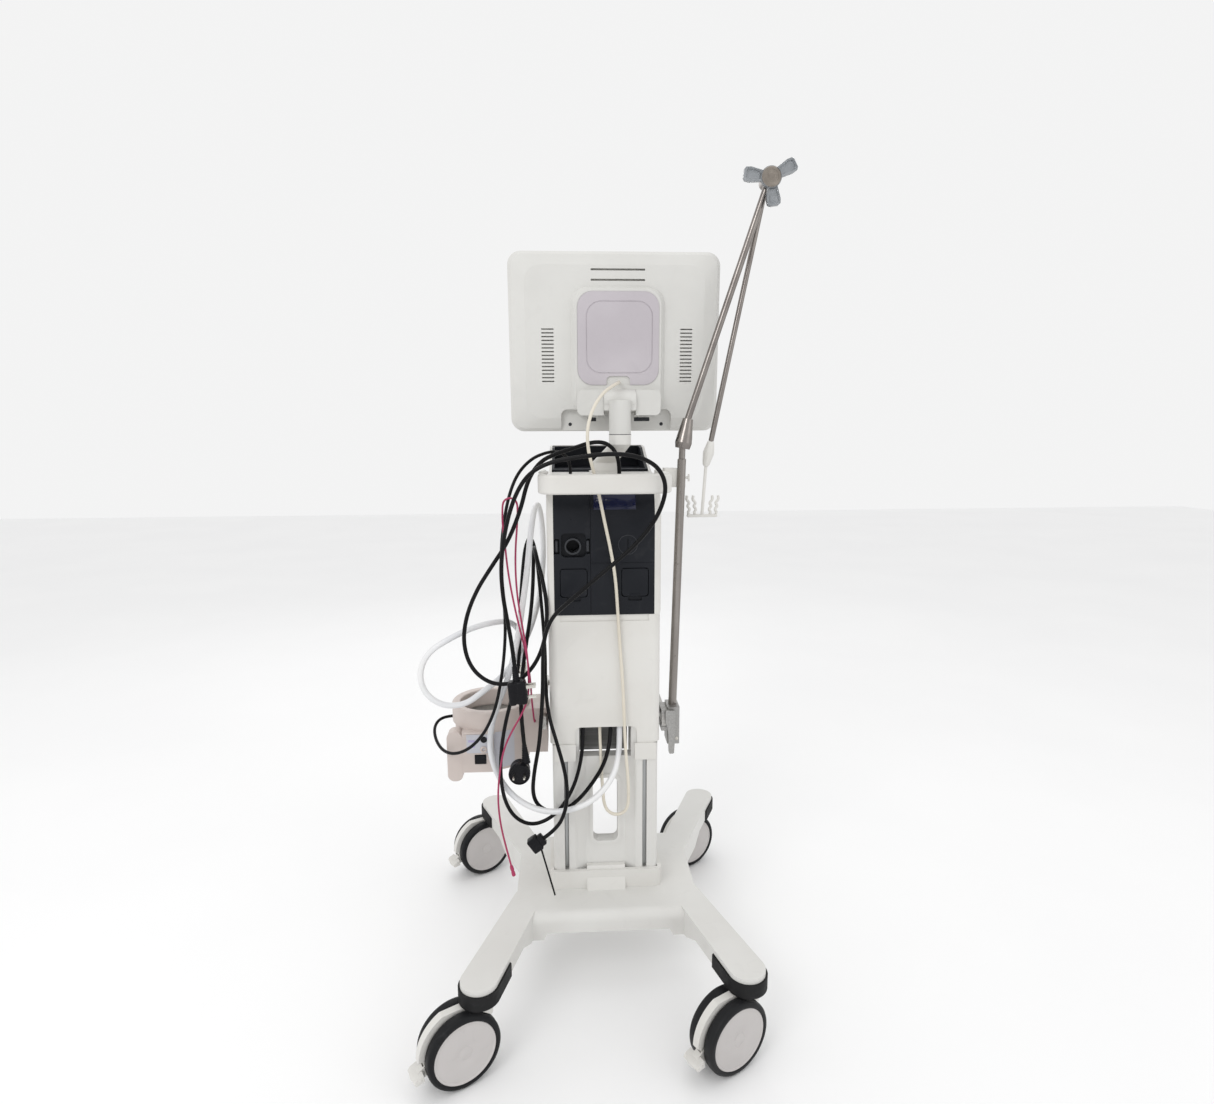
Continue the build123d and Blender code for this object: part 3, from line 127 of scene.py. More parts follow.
def moulded(name, colour, aged, rough, grain=1400, depth=0.00006, scuffs=0.35, scuff_colour=None, coat=0.0):
    """Moulded or painted surface: faint mottling, scuffs, fine grain and uneven gloss."""
    material, tree, shader, place = new_material(name)
    patches = spread(tree, noise(tree, place, 7, 4), 0.38, 0.66, 0, 1)
    base = mixed(tree, patches, colour, aged)
    marks = spread(tree, noise(tree, place, 26, 8, 1.6), 0.60, 0.70, 0, scuffs)
    dirt = scuff_colour or tuple(0.72 * channel for channel in aged)
    tree.links.new(mixed(tree, marks, base, dirt), shader.inputs["Base Color"])
    gloss = spread(tree, noise(tree, place, 55, 5), 0.3, 0.7, rough - 0.05, rough + 0.08)
    tree.links.new(gloss, shader.inputs["Roughness"])
    shader.inputs["Coat Weight"].default_value = coat
    shader.inputs["Specular IOR Level"].default_value = 0.14 if max(colour) < 0.1 else 0.5
    bumped(tree, shader, noise(tree, place, grain, 2), 0.55, depth)
    return material


def metal(name, colour, dark, rough, stretch, scale=160, depth=0.00004):
    """Worked metal: fine lines along one way, darker where it is handled."""
    material, tree, shader, place = new_material(name)
    lines = noise(tree, place, scale, 6, 0, stretch)
    worn = spread(tree, noise(tree, place, 9, 5), 0.42, 0.68, 0, 0.7)
    tinted = mixed(tree, spread(tree, lines, 0.3, 0.7, 0, 1), colour, dark)
    tree.links.new(mixed(tree, worn, tinted, dark), shader.inputs["Base Color"])
    shader.inputs["Metallic"].default_value = 1.0
    tree.links.new(spread(tree, lines, 0.3, 0.7, rough - 0.06, rough + 0.12), shader.inputs["Roughness"])
    bumped(tree, shader, lines, 0.5, depth)
    return material


white_plastic = moulded("white plastic", (0.71, 0.70, 0.67), (0.67, 0.655, 0.62), 0.42, scuffs=0.07)
white_paint = moulded("white paint", (0.70, 0.695, 0.67), (0.665, 0.655, 0.63), 0.5, 900, 0.00012, 0.08)
shell_plastic = moulded(
    "display plastic", (0.66, 0.655, 0.63), (0.62, 0.615, 0.59), 0.46, 1100, 0.00011, 0.05,
)
charcoal = moulded(
    "charcoal plastic", (0.009, 0.0102, 0.0135), (0.015, 0.0165, 0.0205), 0.32, 1600, 0.0001, 0.12,
    GREY_SCUFF,
)
port_grey = moulded("port grey", (0.030, 0.032, 0.037), (0.045, 0.047, 0.052), 0.34, 1500, 0.00005, 0.1)
tray_grey = moulded(
    "tray grey", (0.012, 0.014, 0.018), (0.022, 0.024, 0.029), 0.45, 1200, 0.00012, 0.15, GREY_SCUFF,
)
bumper_rubber = moulded(
    "bumper rubber", (0.011, 0.011, 0.012), (0.022, 0.022, 0.022), 0.6, 1000, 0.00014, 0.15, GREY_SCUFF,
)
tyre_rubber = moulded(
    "tyre rubber", (0.010, 0.0105, 0.012), (0.020, 0.020, 0.021), 0.42, 800, 0.00014, 0.2, GREY_SCUFF,
)
disc_plastic = moulded("wheel disc", (0.56, 0.535, 0.525), (0.51, 0.485, 0.475), 0.4, 900, 0.0001, 0.12)
beige_plastic = moulded("beige plastic", (0.62, 0.55, 0.515), (0.565, 0.495, 0.46), 0.44, 1200, 0.0001, 0.12)
panel_grey = moulded("panel grey", (0.55, 0.555, 0.60), (0.51, 0.515, 0.56), 0.4, 1500, 0.00003, 0.1)
membrane = moulded(
    "membrane", (0.53, 0.495, 0.525), (0.48, 0.445, 0.475), 0.33, 500, 0.00022, 0.06, coat=0.15,
)
green_board = moulded("board", (0.02, 0.10, 0.05), (0.03, 0.13, 0.06), 0.4, 300, 0.0003)
battery_case = moulded("battery case", (0.03, 0.03, 0.034), (0.05, 0.05, 0.054), 0.5)
black_cable = moulded(
    "black cable", (0.004, 0.004, 0.0045), (0.008, 0.008, 0.009), 0.3, 700, 0.00006, 0.1,
    (0.03, 0.03, 0.03),
)
beige_cable = moulded("beige cable", (0.72, 0.675, 0.58), (0.66, 0.61, 0.51), 0.42, 700, 0.00006, 0.15)
white_hose = moulded("white hose", (0.80, 0.80, 0.80), (0.70, 0.71, 0.73), 0.34, 500, 0.00008, 0.12, coat=0.2)
pink_hose = moulded("pink line", (0.40, 0.030, 0.105), (0.33, 0.022, 0.085), 0.38, 600, 0.00005, 0.15)
shiny_black = moulded(
    "shiny black", (0.005, 0.005, 0.0065), (0.010, 0.010, 0.012), 0.26, 900, 0.00004, 0.1,
    (0.03, 0.03, 0.03),
)
window_blue = moulded(
    "status window", (0.004, 0.006, 0.030), (0.006, 0.009, 0.040), 0.14, 1800, 0.00001, 0.05, coat=0.5,
)
pole_steel = metal("pole steel", (0.36, 0.335, 0.315), (0.24, 0.22, 0.205), 0.24, (1, 1, 0.02))
arm_steel = metal("arm steel", (0.31, 0.285, 0.265), (0.20, 0.18, 0.17), 0.2, (1, 1, 1), 24, 0.00001)
rail_steel = metal("rail steel", (0.55, 0.54, 0.52), (0.40, 0.39, 0.37), 0.3, (1, 0.02, 1))
sheet_steel = metal("sheet steel", (0.26, 0.26, 0.26), (0.16, 0.16, 0.16), 0.38, (0.02, 1, 1))
block_aluminium = metal(
    "cast aluminium", (0.46, 0.455, 0.445), (0.33, 0.325, 0.315), 0.42, (1, 1, 1), 500, 0.0001,
)
plate_aluminium = metal("heater plate", (0.40, 0.40, 0.385), (0.30, 0.30, 0.29), 0.48, (1, 1, 0.1), 240)
strip_metal = metal("groove strip", (0.42, 0.43, 0.43), (0.32, 0.33, 0.33), 0.4, (1, 1, 0.02))
pin_metal = metal("plug pins", (0.75, 0.74, 0.70), (0.55, 0.53, 0.48), 0.22, (0.05, 1, 1), 300)


def smoky_knob():
    """Translucent grey moulding."""
    material, tree, shader, place = new_material("smoky knob")
    cloud = spread(tree, noise(tree, place, 30, 4), 0.35, 0.65, 0, 1)
    tree.links.new(mixed(tree, cloud, (0.30, 0.32, 0.34), (0.42, 0.44, 0.46)), shader.inputs["Base Color"])
    tree.links.new(spread(tree, noise(tree, place, 60, 4), 0.3, 0.7, 0.16, 0.3), shader.inputs["Roughness"])
    shader.inputs["Transmission Weight"].default_value = 0.6
    shader.inputs["IOR"].default_value = 1.46
    bumped(tree, shader, noise(tree, place, 900, 2), 0.4, 0.00005)
    return material


def screen_material():
    """Dark glass with the faint unevenness of wiped smears."""
    material, tree, shader, place = new_material("screen glass")
    cloud = spread(tree, noise(tree, place, 5, 3), 0.4, 0.6, 0, 1)
    glass = mixed(tree, cloud, (0.006, 0.007, 0.009), (0.010, 0.012, 0.015))
    tree.links.new(glass, shader.inputs["Base Color"])
    smears = noise(tree, place, 9, 8, 0.8, (1, 1, 0.3))
    tree.links.new(spread(tree, smears, 0.4, 0.75, 0.05, 0.22), shader.inputs["Roughness"])
    shader.inputs["Coat Weight"].default_value = 0.5
    bumped(tree, shader, noise(tree, place, 300, 2), 0.1, 0.00001)
    return material


knob_smoke = smoky_knob()
boss_metal = metal("boss metal", (0.36, 0.32, 0.28), (0.22, 0.195, 0.17), 0.26, (1, 1, 1), 90)
NODE_MATERIALS = {
    "base_casting": white_paint, "leg_bumpers": bumper_rubber, "column": white_paint,
    "column_collars": white_plastic, "lower_front_cover": white_plastic, "lower_rear_cover": white_plastic,
    "chassis_plate": sheet_steel, "left_side_shell": white_plastic, "right_side_shell": white_plastic,
    "rear_panel": charcoal, "cassette_module": charcoal, "right_module": charcoal, "gas_port": port_grey,
    "left_door": charcoal, "right_door": charcoal, "coin_lock": charcoal, "battery_packs": battery_case,
    "valve_block": block_aluminium, "control_board": green_board, "top_cover": white_plastic,
    "rear_tray": tray_grey, "handle": white_plastic, "display_arm": white_plastic,
    "display_head": shell_plastic, "display_rear_shell": shell_plastic, "display_bezel": charcoal,
    "display_glass": screen_material(), "membrane_cover": membrane, "side_rails": rail_steel,
    "pole": pole_steel, "rail_clamp": block_aluminium, "clamp_lever": block_aluminium,
    "pole_bracket": white_plastic, "lower_arm": arm_steel, "upper_arm": arm_steel,
    "elbow_knob": knob_smoke, "tube_holder": white_plastic, "humidifier_housing": beige_plastic,
    "heater_plate": plate_aluminium, "humidifier_switch": shiny_black,
}
for corner in CORNERS:
    NODE_MATERIALS[f"{corner}_fork"] = white_plastic
    NODE_MATERIALS[f"{corner}_pedal"] = white_plastic
for node_name, material in NODE_MATERIALS.items():
    for material_slot in nodes[node_name].material_slots:
        material_slot.material = material


# ---------------------------------------------------------------- building pieces
def add_piece(name, mesh_or_curve, material, body="stand"):
    """Links a new piece, gives it its material and lets it ride on a body."""
    piece = bpy.data.objects.new(name, mesh_or_curve)
    bpy.context.scene.collection.objects.link(piece)
    mesh_or_curve.materials.append(material)
    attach(piece, body)
    return piece


def finish_mesh(name, bm, angle=0.6):
    """Mesh from a bmesh, smooth except across sharp edges."""
    bmesh.ops.remove_doubles(bm, verts=bm.verts, dist=1e-7)
    bmesh.ops.recalc_face_normals(bm, faces=bm.faces)
    for face in bm.faces:
        face.smooth = True
    for edge in bm.edges:
        if len(edge.link_faces) == 2 and edge.calc_face_angle(0) > angle:
            edge.smooth = False
    mesh = bpy.data.meshes.new(name)
    bm.to_mesh(mesh)
    bm.free()
    return mesh


def add_mesh(name, bm, material, body="stand", angle=0.6):
    """Finishes a bmesh and adds it as a piece of the same name."""
    return add_piece(name, finish_mesh(name, bm, angle), material, body)


def turned_frame(origin, axis):
    """Matrix that puts local Z along axis at origin."""
    return Matrix.Translation(Vector(origin)) @ Vector(axis).to_track_quat("Z", "Y").to_matrix().to_4x4()


def lathe_into(bm, profile, place, steps=72, squeeze=1.0):
    """Turns a profile of (radius, height) points, closed at the axis or on itself."""
    rings = []
    for radius, height in profile:
        if radius < 1e-6:
            rings.append([bm.verts.new(place @ Vector((0, 0, height)))])
            continue
        ring = []
        for k in range(steps):
            turn = 2 * pi * k / steps
            spot = Vector((radius * cos(turn), squeeze * radius * sin(turn), height))
            ring.append(bm.verts.new(place @ spot))
        rings.append(ring)
    pairs = list(zip(rings, rings[1:]))
    if profile[0][0] > 1e-6:
        pairs.append((rings[-1], rings[0]))
    for low, high in pairs:
        for k in range(steps):
            n = (k + 1) % steps
            if len(low) == 1:
                bm.faces.new((low[0], high[n], high[k]))
            elif len(high) == 1:
                bm.faces.new((low[k], low[n], high[0]))
            else:
                bm.faces.new((low[k], low[n], high[n], high[k]))


def lathe(name, profile, origin, axis, material, body="stand", steps=72, squeeze=1.0):
    """Turned piece of its own, from origin along axis."""
    bm = bmesh.new()
    lathe_into(bm, profile, turned_frame(origin, axis), steps, squeeze)
    return add_mesh(name, bm, material, body)


def block_into(bm, size, radius, place, segments=3):
    """Rounded block centred on place."""
    made = bmesh.ops.create_cube(bm, size=1.0)["verts"]
    bmesh.ops.scale(bm, vec=size, verts=made)
    edges = list({edge for vert in made for edge in vert.link_edges})
    bevelled = bmesh.ops.bevel(bm, geom=edges, offset=radius, segments=segments, affect="EDGES", profile=0.5)
    loose = {vert for face in bevelled["faces"] for vert in face.verts}
    bmesh.ops.transform(bm, matrix=place, verts=list(loose))


def block(name, size, radius, place, material, body="stand", segments=3):
    """Rounded block of its own; place is a centre or a whole matrix."""
    if not isinstance(place, Matrix):
        place = Matrix.Translation(Vector(place))
    bm = bmesh.new()
    block_into(bm, size, radius, place, segments)
    return add_mesh(name, bm, material, body)


# ---------------------------------------------------------------- cords
# Each route lists its corners from the fixed end, the same as in the part's source.
DISPLAY_CABLE = [
    (0.033, 0.0303, 1.1259), (0.033, 0.009, 1.1248), (0.022, -0.018, 1.119), (0.001, -0.042, 1.105),
    (-0.019, -0.056, 1.077), (-0.03, -0.065, 1.04), (-0.028, -0.071, 1.001), (-0.018, -0.075, 0.963),
    (-0.009, -0.075, 0.922), (0, -0.071, 0.877), (0.011, -0.066, 0.826), (0.02, -0.063, 0.772),
    (0.024, -0.063, 0.704), (0.028, -0.063, 0.638), (0.033, -0.064, 0.572), (0.035, -0.066, 0.507),
    (0.037, -0.069, 0.449), (0.041, -0.071, 0.403), (0.043, -0.072, 0.364), (0.042, -0.072, 0.33),
    (0.029, -0.071, 0.316), (0.01, -0.069, 0.316), (-0.003, -0.066, 0.33), (-0.006, -0.062, 0.364),
    (-0.008, -0.056, 0.406), (-0.009, -0.053, 0.44), (-0.01, -0.042, 0.474), (-0.01, -0.042, 0.5),
]
MAINS_CORD_A = [
    (0.031, -0.008, 0.957), (0.031, -0.008, 0.981), (0.021, -0.017, 1.004), (0.003, -0.029, 1.017),
    (-0.023, -0.04, 1.017), (-0.053, -0.05, 1.007), (-0.085, -0.061, 0.998), (-0.114, -0.071, 0.984),
    (-0.135, -0.08, 0.952), (-0.147, -0.086, 0.903), (-0.171, -0.084, 0.845), (-0.202, -0.08, 0.8),
    (-0.23, -0.078, 0.757), (-0.25, -0.076, 0.709), (-0.257, -0.076, 0.661), (-0.246, -0.076, 0.616),
    (-0.218, -0.076, 0.587), (-0.182, -0.076, 0.579), (-0.147, -0.072, 0.593), (-0.121, -0.066, 0.627),
    (-0.107, -0.063, 0.674), (-0.105, -0.062, 0.723), (-0.112, -0.046, 0.766), (-0.122, -0.026, 0.799),
    (-0.128, 0.001, 0.819), (-0.131, 0.033, 0.817), (-0.133, 0.056, 0.79), (-0.135, 0.057, 0.738),
    (-0.139, 0.042, 0.69), (-0.147, 0.008, 0.64), (-0.154, -0.032, 0.593), (-0.157, -0.062, 0.55),
    (-0.155, -0.079, 0.508), (-0.151, -0.086, 0.468),
]
MAINS_CORD_B = [
    (0.011, -0.042, 0.5), (0.011, -0.042, 0.476), (0.007, -0.056, 0.445), (-0.004, -0.066, 0.414),
    (-0.025, -0.068, 0.38), (-0.049, -0.065, 0.348), (-0.075, -0.065, 0.327), (-0.103, -0.065, 0.321),
    (-0.128, -0.065, 0.334), (-0.139, -0.065, 0.36), (-0.135, -0.066, 0.404), (-0.124, -0.068, 0.46),
    (-0.119, -0.072, 0.517), (-0.115, -0.076, 0.572), (-0.114, -0.08, 0.626), (-0.111, -0.088, 0.671),
    (-0.096, -0.103, 0.713), (-0.064, -0.12, 0.745), (-0.027, -0.127, 0.778), (0.008, -0.13, 0.808),
    (0.042, -0.132, 0.837), (0.072, -0.134, 0.87), (0.093, -0.136, 0.906), (0.102, -0.136, 0.943),
    (0.091, -0.134, 0.973), (0.067, -0.132, 0.99), (0.037, -0.129, 0.998), (0.004, -0.125, 0.999),
    (-0.03, -0.12, 0.996), (-0.064, -0.114, 0.991), (-0.098, -0.108, 0.984), (-0.131, -0.104, 0.966),
    (-0.152, -0.102, 0.936), (-0.167, -0.1, 0.897), (-0.178, -0.098, 0.85), (-0.184, -0.095, 0.8),
    (-0.182, -0.093, 0.749), (-0.175, -0.093, 0.704), (-0.168, -0.096, 0.662), (-0.164, -0.099, 0.622),
]
HUMIDIFIER_CORD = [
    (-0.289, 0.062, 0.47), (-0.309, 0.062, 0.47), (-0.328, 0.05, 0.468), (-0.334, 0.024, 0.46),
    (-0.325, -0.01, 0.448), (-0.305, -0.044, 0.44), (-0.278, -0.066, 0.444), (-0.248, -0.078, 0.462),
    (-0.222, -0.08, 0.492), (-0.204, -0.074, 0.53), (-0.194, -0.06, 0.572), (-0.186, -0.056, 0.625),
    (-0.182, -0.054, 0.678), (-0.183, -0.054, 0.73), (-0.187, -0.054, 0.782), (-0.186, -0.052, 0.829),
    (-0.18, -0.046, 0.88), (-0.17, -0.038, 0.926), (-0.155, -0.026, 0.962), (-0.131, -0.01, 0.987),
    (-0.104, 0.004, 0.998), (-0.08, 0.016, 1), (-0.065, 0.024, 0.989), (-0.059, 0.027, 0.972),
    (-0.059, 0.027, 0.957),
]
DATA_CORD = [
    (-0.042, -0.042, 0.5), (-0.042, -0.042, 0.476), (-0.043, -0.055, 0.445), (-0.049, -0.065, 0.412),
    (-0.061, -0.071, 0.374), (-0.083, -0.078, 0.338), (-0.11, -0.081, 0.315), (-0.142, -0.084, 0.307),
    (-0.172, -0.086, 0.324), (-0.19, -0.087, 0.36), (-0.196, -0.086, 0.406), (-0.194, -0.084, 0.455),
    (-0.186, -0.08, 0.504), (-0.174, -0.068, 0.548), (-0.163, -0.044, 0.588), (-0.159, -0.016, 0.634),
    (-0.159, -0.004, 0.686), (-0.155, 0, 0.738), (-0.151, 0.004, 0.782), (-0.147, 0.018, 0.817),
    (-0.141, 0.046, 0.834), (-0.135, 0.076, 0.825), (-0.129, 0.092, 0.795), (-0.124, 0.09, 0.74),
    (-0.118, 0.064, 0.676), (-0.112, 0.016, 0.612), (-0.112, -0.034, 0.565), (-0.106, -0.07, 0.517),
    (-0.091, -0.086, 0.47), (-0.078, -0.1, 0.426), (-0.072, -0.11, 0.386), (-0.077, -0.115, 0.348),
    (-0.093, -0.116, 0.316), (-0.117, -0.116, 0.299),
]
GAS_HOSE = [
    (0.028, -0.043, 0.5), (0.028, -0.043, 0.468), (0.026, -0.057, 0.436), (0.018, -0.074, 0.406),
    (-0.002, -0.088, 0.378), (-0.031, -0.095, 0.355), (-0.067, -0.096, 0.341), (-0.107, -0.092, 0.336),
    (-0.147, -0.082, 0.344), (-0.182, -0.073, 0.368), (-0.206, -0.066, 0.406), (-0.217, -0.062, 0.449),
    (-0.214, -0.06, 0.492), (-0.201, -0.056, 0.533), (-0.184, -0.05, 0.573), (-0.17, -0.046, 0.618),
    (-0.159, -0.04, 0.669), (-0.15, -0.036, 0.725), (-0.141, -0.034, 0.785), (-0.134, -0.03, 0.85),
    (-0.128, 0.012, 0.896), (-0.122, 0.072, 0.898), (-0.117, 0.118, 0.858), (-0.115, 0.124, 0.8),
    (-0.118, 0.114, 0.745), (-0.126, 0.088, 0.698), (-0.138, 0.054, 0.66), (-0.154, 0.018, 0.628),
    (-0.173, -0.012, 0.6), (-0.197, -0.032, 0.577), (-0.227, -0.046, 0.558), (-0.26, -0.058, 0.537),
    (-0.3, -0.066, 0.539), (-0.331, -0.07, 0.565), (-0.34, -0.068, 0.604), (-0.323, -0.063, 0.641),
    (-0.286, -0.056, 0.663), (-0.246, -0.046, 0.68), (-0.208, -0.028, 0.686), (-0.178, 0.002, 0.68),
    (-0.162, 0.032, 0.654), (-0.159, 0.044, 0.616), (-0.159, 0.044, 0.585),
]
PINK_LINE = [
    (-0.134, 0, 0.48), (-0.134, -0.01, 0.48), (-0.135, -0.018, 0.488), (-0.136, -0.024, 0.504),
    (-0.138, -0.034, 0.534), (-0.139, -0.046, 0.58), (-0.144, -0.058, 0.63), (-0.155, -0.066, 0.68),
    (-0.166, -0.066, 0.736), (-0.174, -0.066, 0.788), (-0.178, -0.066, 0.838), (-0.1815, -0.066, 0.876),
    (-0.181, -0.066, 0.896), (-0.18, -0.066, 0.913), (-0.1725, -0.066, 0.9205),
    (-0.162, -0.066, 0.9205), (-0.1545, -0.066, 0.913), (-0.154, -0.065, 0.896),
    (-0.156, -0.064, 0.868), (-0.16, -0.062, 0.826), (-0.161, -0.058, 0.779), (-0.158, -0.056, 0.73),
    (-0.15, -0.062, 0.682), (-0.142, -0.077, 0.636), (-0.14, -0.084, 0.598), (-0.141, -0.084, 0.56),
    (-0.153, -0.085, 0.528), (-0.171, -0.092, 0.5), (-0.187, -0.098, 0.468), (-0.196, -0.1, 0.424),
    (-0.201, -0.099, 0.372), (-0.198, -0.098, 0.322), (-0.189, -0.096, 0.273), (-0.18, -0.094, 0.232),
]


def round_curve(name, corners, diameter, steps, roundness):
    """Smooth round curve that follows a list of corners."""
    curve = bpy.data.curves.new(name, "CURVE")
    curve.dimensions = "3D"
    spline = curve.splines.new("NURBS")
    spline.points.add(len(corners) - 1)
    for point, corner in zip(spline.points, corners):
        point.co = (*corner, 1)
    spline.order_u = 3
    spline.use_endpoint_u = True
    spline.resolution_u = steps
    curve.bevel_depth = diameter / 2
    curve.bevel_resolution = roundness
    curve.use_fill_caps = True
    return curve


def lay_cord(name, route, diameter, material):
    """Cord along its route, in place of its CAD tube."""
    curve = round_curve(name, route, diameter, 10, 6)
    piece = add_piece(f"{name}_run", curve, material, "stand")
    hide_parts(name)


def frame_at_end(route):
    """Frame across a route's last point, with local Z along the cord."""
    last, end = Vector(route[-2]), Vector(route[-1])
    z_axis = (end - last).normalized()
    x_axis = (Vector((1, 0, 0)) - z_axis * z_axis.x).normalized()
    y_axis = z_axis.cross(x_axis)
    matrix = Matrix((x_axis, y_axis, z_axis)).transposed().to_4x4()
    matrix.translation = end
    return matrix


def ribbed_relief(bm, place, length, thin, thick, ribs):
    """Tapered strain relief with ribs round it."""
    profile = [(0, 0)]
    for k in range(ribs):
        start = length * k / ribs
        radius = thin + (thick - thin) * k / (ribs - 1)
        width = length / ribs
        profile += [(radius - 0.0007, start), (radius, start + 0.2 * width), (radius, start + 0.62 * width)]
        profile += [(radius - 0.0007, start + 0.8 * width)]
    profile += [(thick, length), (0, length)]
    lathe_into(bm, profile, place, 40)


# angled plug: relief and collar, body in two halves with a parting line, three flat pins
PLUG_A_MIDDLE = 0.0473
plug_a_frame = frame_at_end(MAINS_CORD_B)
bm = bmesh.new()
ribbed_relief(bm, plug_a_frame, 0.026, 0.0052, 0.0066, 7)
collar = [(0, 0.0255), (0.0085, 0.0255), (0.0095, 0.0265), (0.0095, 0.0300), (0, 0.0300)]
lathe_into(bm, collar, plug_a_frame, 40)
for half_x, width in ((-0.0094, 0.0140), (0.0072, 0.0186)):
    shift = plug_a_frame @ Matrix.Translation((half_x, 0, PLUG_A_MIDDLE))
    block_into(bm, (width, 0.0268, 0.0430), 0.0052, shift, 5)
core = plug_a_frame @ Matrix.Translation((-0.0012, 0, PLUG_A_MIDDLE))
block_into(bm, (0.0230, 0.0246, 0.0400), 0.0052, core, 4)
pin_face = plug_a_frame @ Matrix.Translation((0.0140, 0, 0.0480))
block_into(bm, (0.0060, 0.0200, 0.0330), 0.0022, pin_face, 3)
plug_a = add_mesh("angled_plug", bm, shiny_black, "stand")
bm = bmesh.new()
for pin_y, pin_z in ((-0.007, 0.038), (0.007, 0.038), (0, 0.058)):
    shift = plug_a_frame @ Matrix.Translation((0.0222, pin_y, pin_z))
    block_into(bm, (0.022, 0.004, 0.0062), 0.0009, shift, 2)
plug_a_pins = add_mesh("angled_plug_pins", bm, pin_metal, "stand")

# round plug: long relief, dished body, two round pins
PLUG_B_X, PLUG_B_Z = -0.160, 0.418
plug_b_frame = frame_at_end(MAINS_CORD_A)
bm = bmesh.new()
ribbed_relief(bm, plug_b_frame, 0.034, 0.0046, 0.0080, 8)
round_body = [
    (0, 0), (0.015, 0), (0.0175, 0.0015), (0.0185, 0.005), (0.0172, 0.012), (0.0180, 0.018),
    (0.0198, 0.022), (0.0198, 0.031), (0.0188, 0.0335), (0.0165, 0.034), (0.0160, 0.0325), (0, 0.0325),
]
lathe_into(bm, round_body, turned_frame((PLUG_B_X, -0.072, PLUG_B_Z), (0, -1, 0)), 64)
plug_b = add_mesh("round_plug", bm, shiny_black, "stand")
bm = bmesh.new()
pin = [(0, 0), (0.0024, 0), (0.0024, 0.016), (0.0016, 0.018), (0, 0.018)]
for pin_x in (-0.0095, 0.0095):
    lathe_into(bm, pin, turned_frame((PLUG_B_X + pin_x, -0.1045, PLUG_B_Z), (0, -1, 0)), 24)
plug_b_pins = add_mesh("round_plug_pins", bm, pin_metal, "stand")

# flat black connector with its tie strap
CONNECTOR_MIDDLE = 0.0195
data_frame = frame_at_end(DATA_CORD)
bm = bmesh.new()
block_into(bm, (0.028, 0.018, 0.020), 0.003, data_frame @ Matrix.Translation((0, 0, CONNECTOR_MIDDLE)), 4)
block_into(bm, (0.021, 0.0135, 0.012), 0.0025, data_frame @ Matrix.Translation((0, 0, 0.0062)), 3)
for rib in (-0.008, 0, 0.008):
    shift = data_frame @ Matrix.Translation((rib, 0, CONNECTOR_MIDDLE))
    block_into(bm, (0.0022, 0.0190, 0.014), 0.0006, shift, 2)
strap_way = Vector((0.25, -0.02, -0.97)).normalized()
strap_start, strap_length = Vector((-0.124, -0.116, 0.284)), 0.102
strap_frame = turned_frame(strap_start + strap_way * (strap_length / 2 + 0.001), strap_way)
block_into(bm, (0.0034, 0.0030, strap_length), 0.0008, strap_frame, 2)
data_connector = add_mesh("flat_connector", bm, shiny_black, "stand")

# slim line connector and hose probe
bm = bmesh.new()
connector = [
    (0, 0), (0.0026, 0), (0.0034, 0.003), (0.0034, 0.009), (0.0029, 0.0105), (0.0029, 0.0125),
    (0.0036, 0.014), (0.0036, 0.0205), (0.0028, 0.0215), (0, 0.0215),
]
lathe_into(bm, connector, frame_at_end(PINK_LINE), 32)
line_connector = add_mesh("line_connector", bm, pink_hose, "stand")
bm = bmesh.new()
probe = [
    (0, 0), (0.0072, 0), (0.0085, 0.0015), (0.0085, 0.006), (0.0079, 0.007), (0.0085, 0.008),
    (0.0085, 0.0205), (0.0078, 0.0218), (0.006, 0.0222), (0.006, 0.032), (0.0052, 0.033),
    (0.0052, 0.036), (0.006, 0.037), (0.006, 0.044), (0.0048, 0.0455), (0, 0.0455),
]
lathe_into(bm, probe, frame_at_end(GAS_HOSE), 48)
hose_probe = add_mesh("hose_probe", bm, pin_metal, "stand")
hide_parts("cord_ends")

lay_cord(
    "display_cable", DISPLAY_CABLE, 0.006, beige_cable,
)
lay_cord(
    "mains_cord_a", MAINS_CORD_A, 0.0075, black_cable,
)
lay_cord(
    "mains_cord_b", MAINS_CORD_B, 0.0075, black_cable,
)
lay_cord(
    "humidifier_cord", HUMIDIFIER_CORD, 0.006, black_cable,
)
lay_cord(
    "data_cord", DATA_CORD, 0.007, black_cable,
)
lay_cord(
    "gas_hose", GAS_HOSE, 0.011, white_hose,
)
lay_cord(
    "pink_line", PINK_LINE, 0.0035, pink_hose,
)

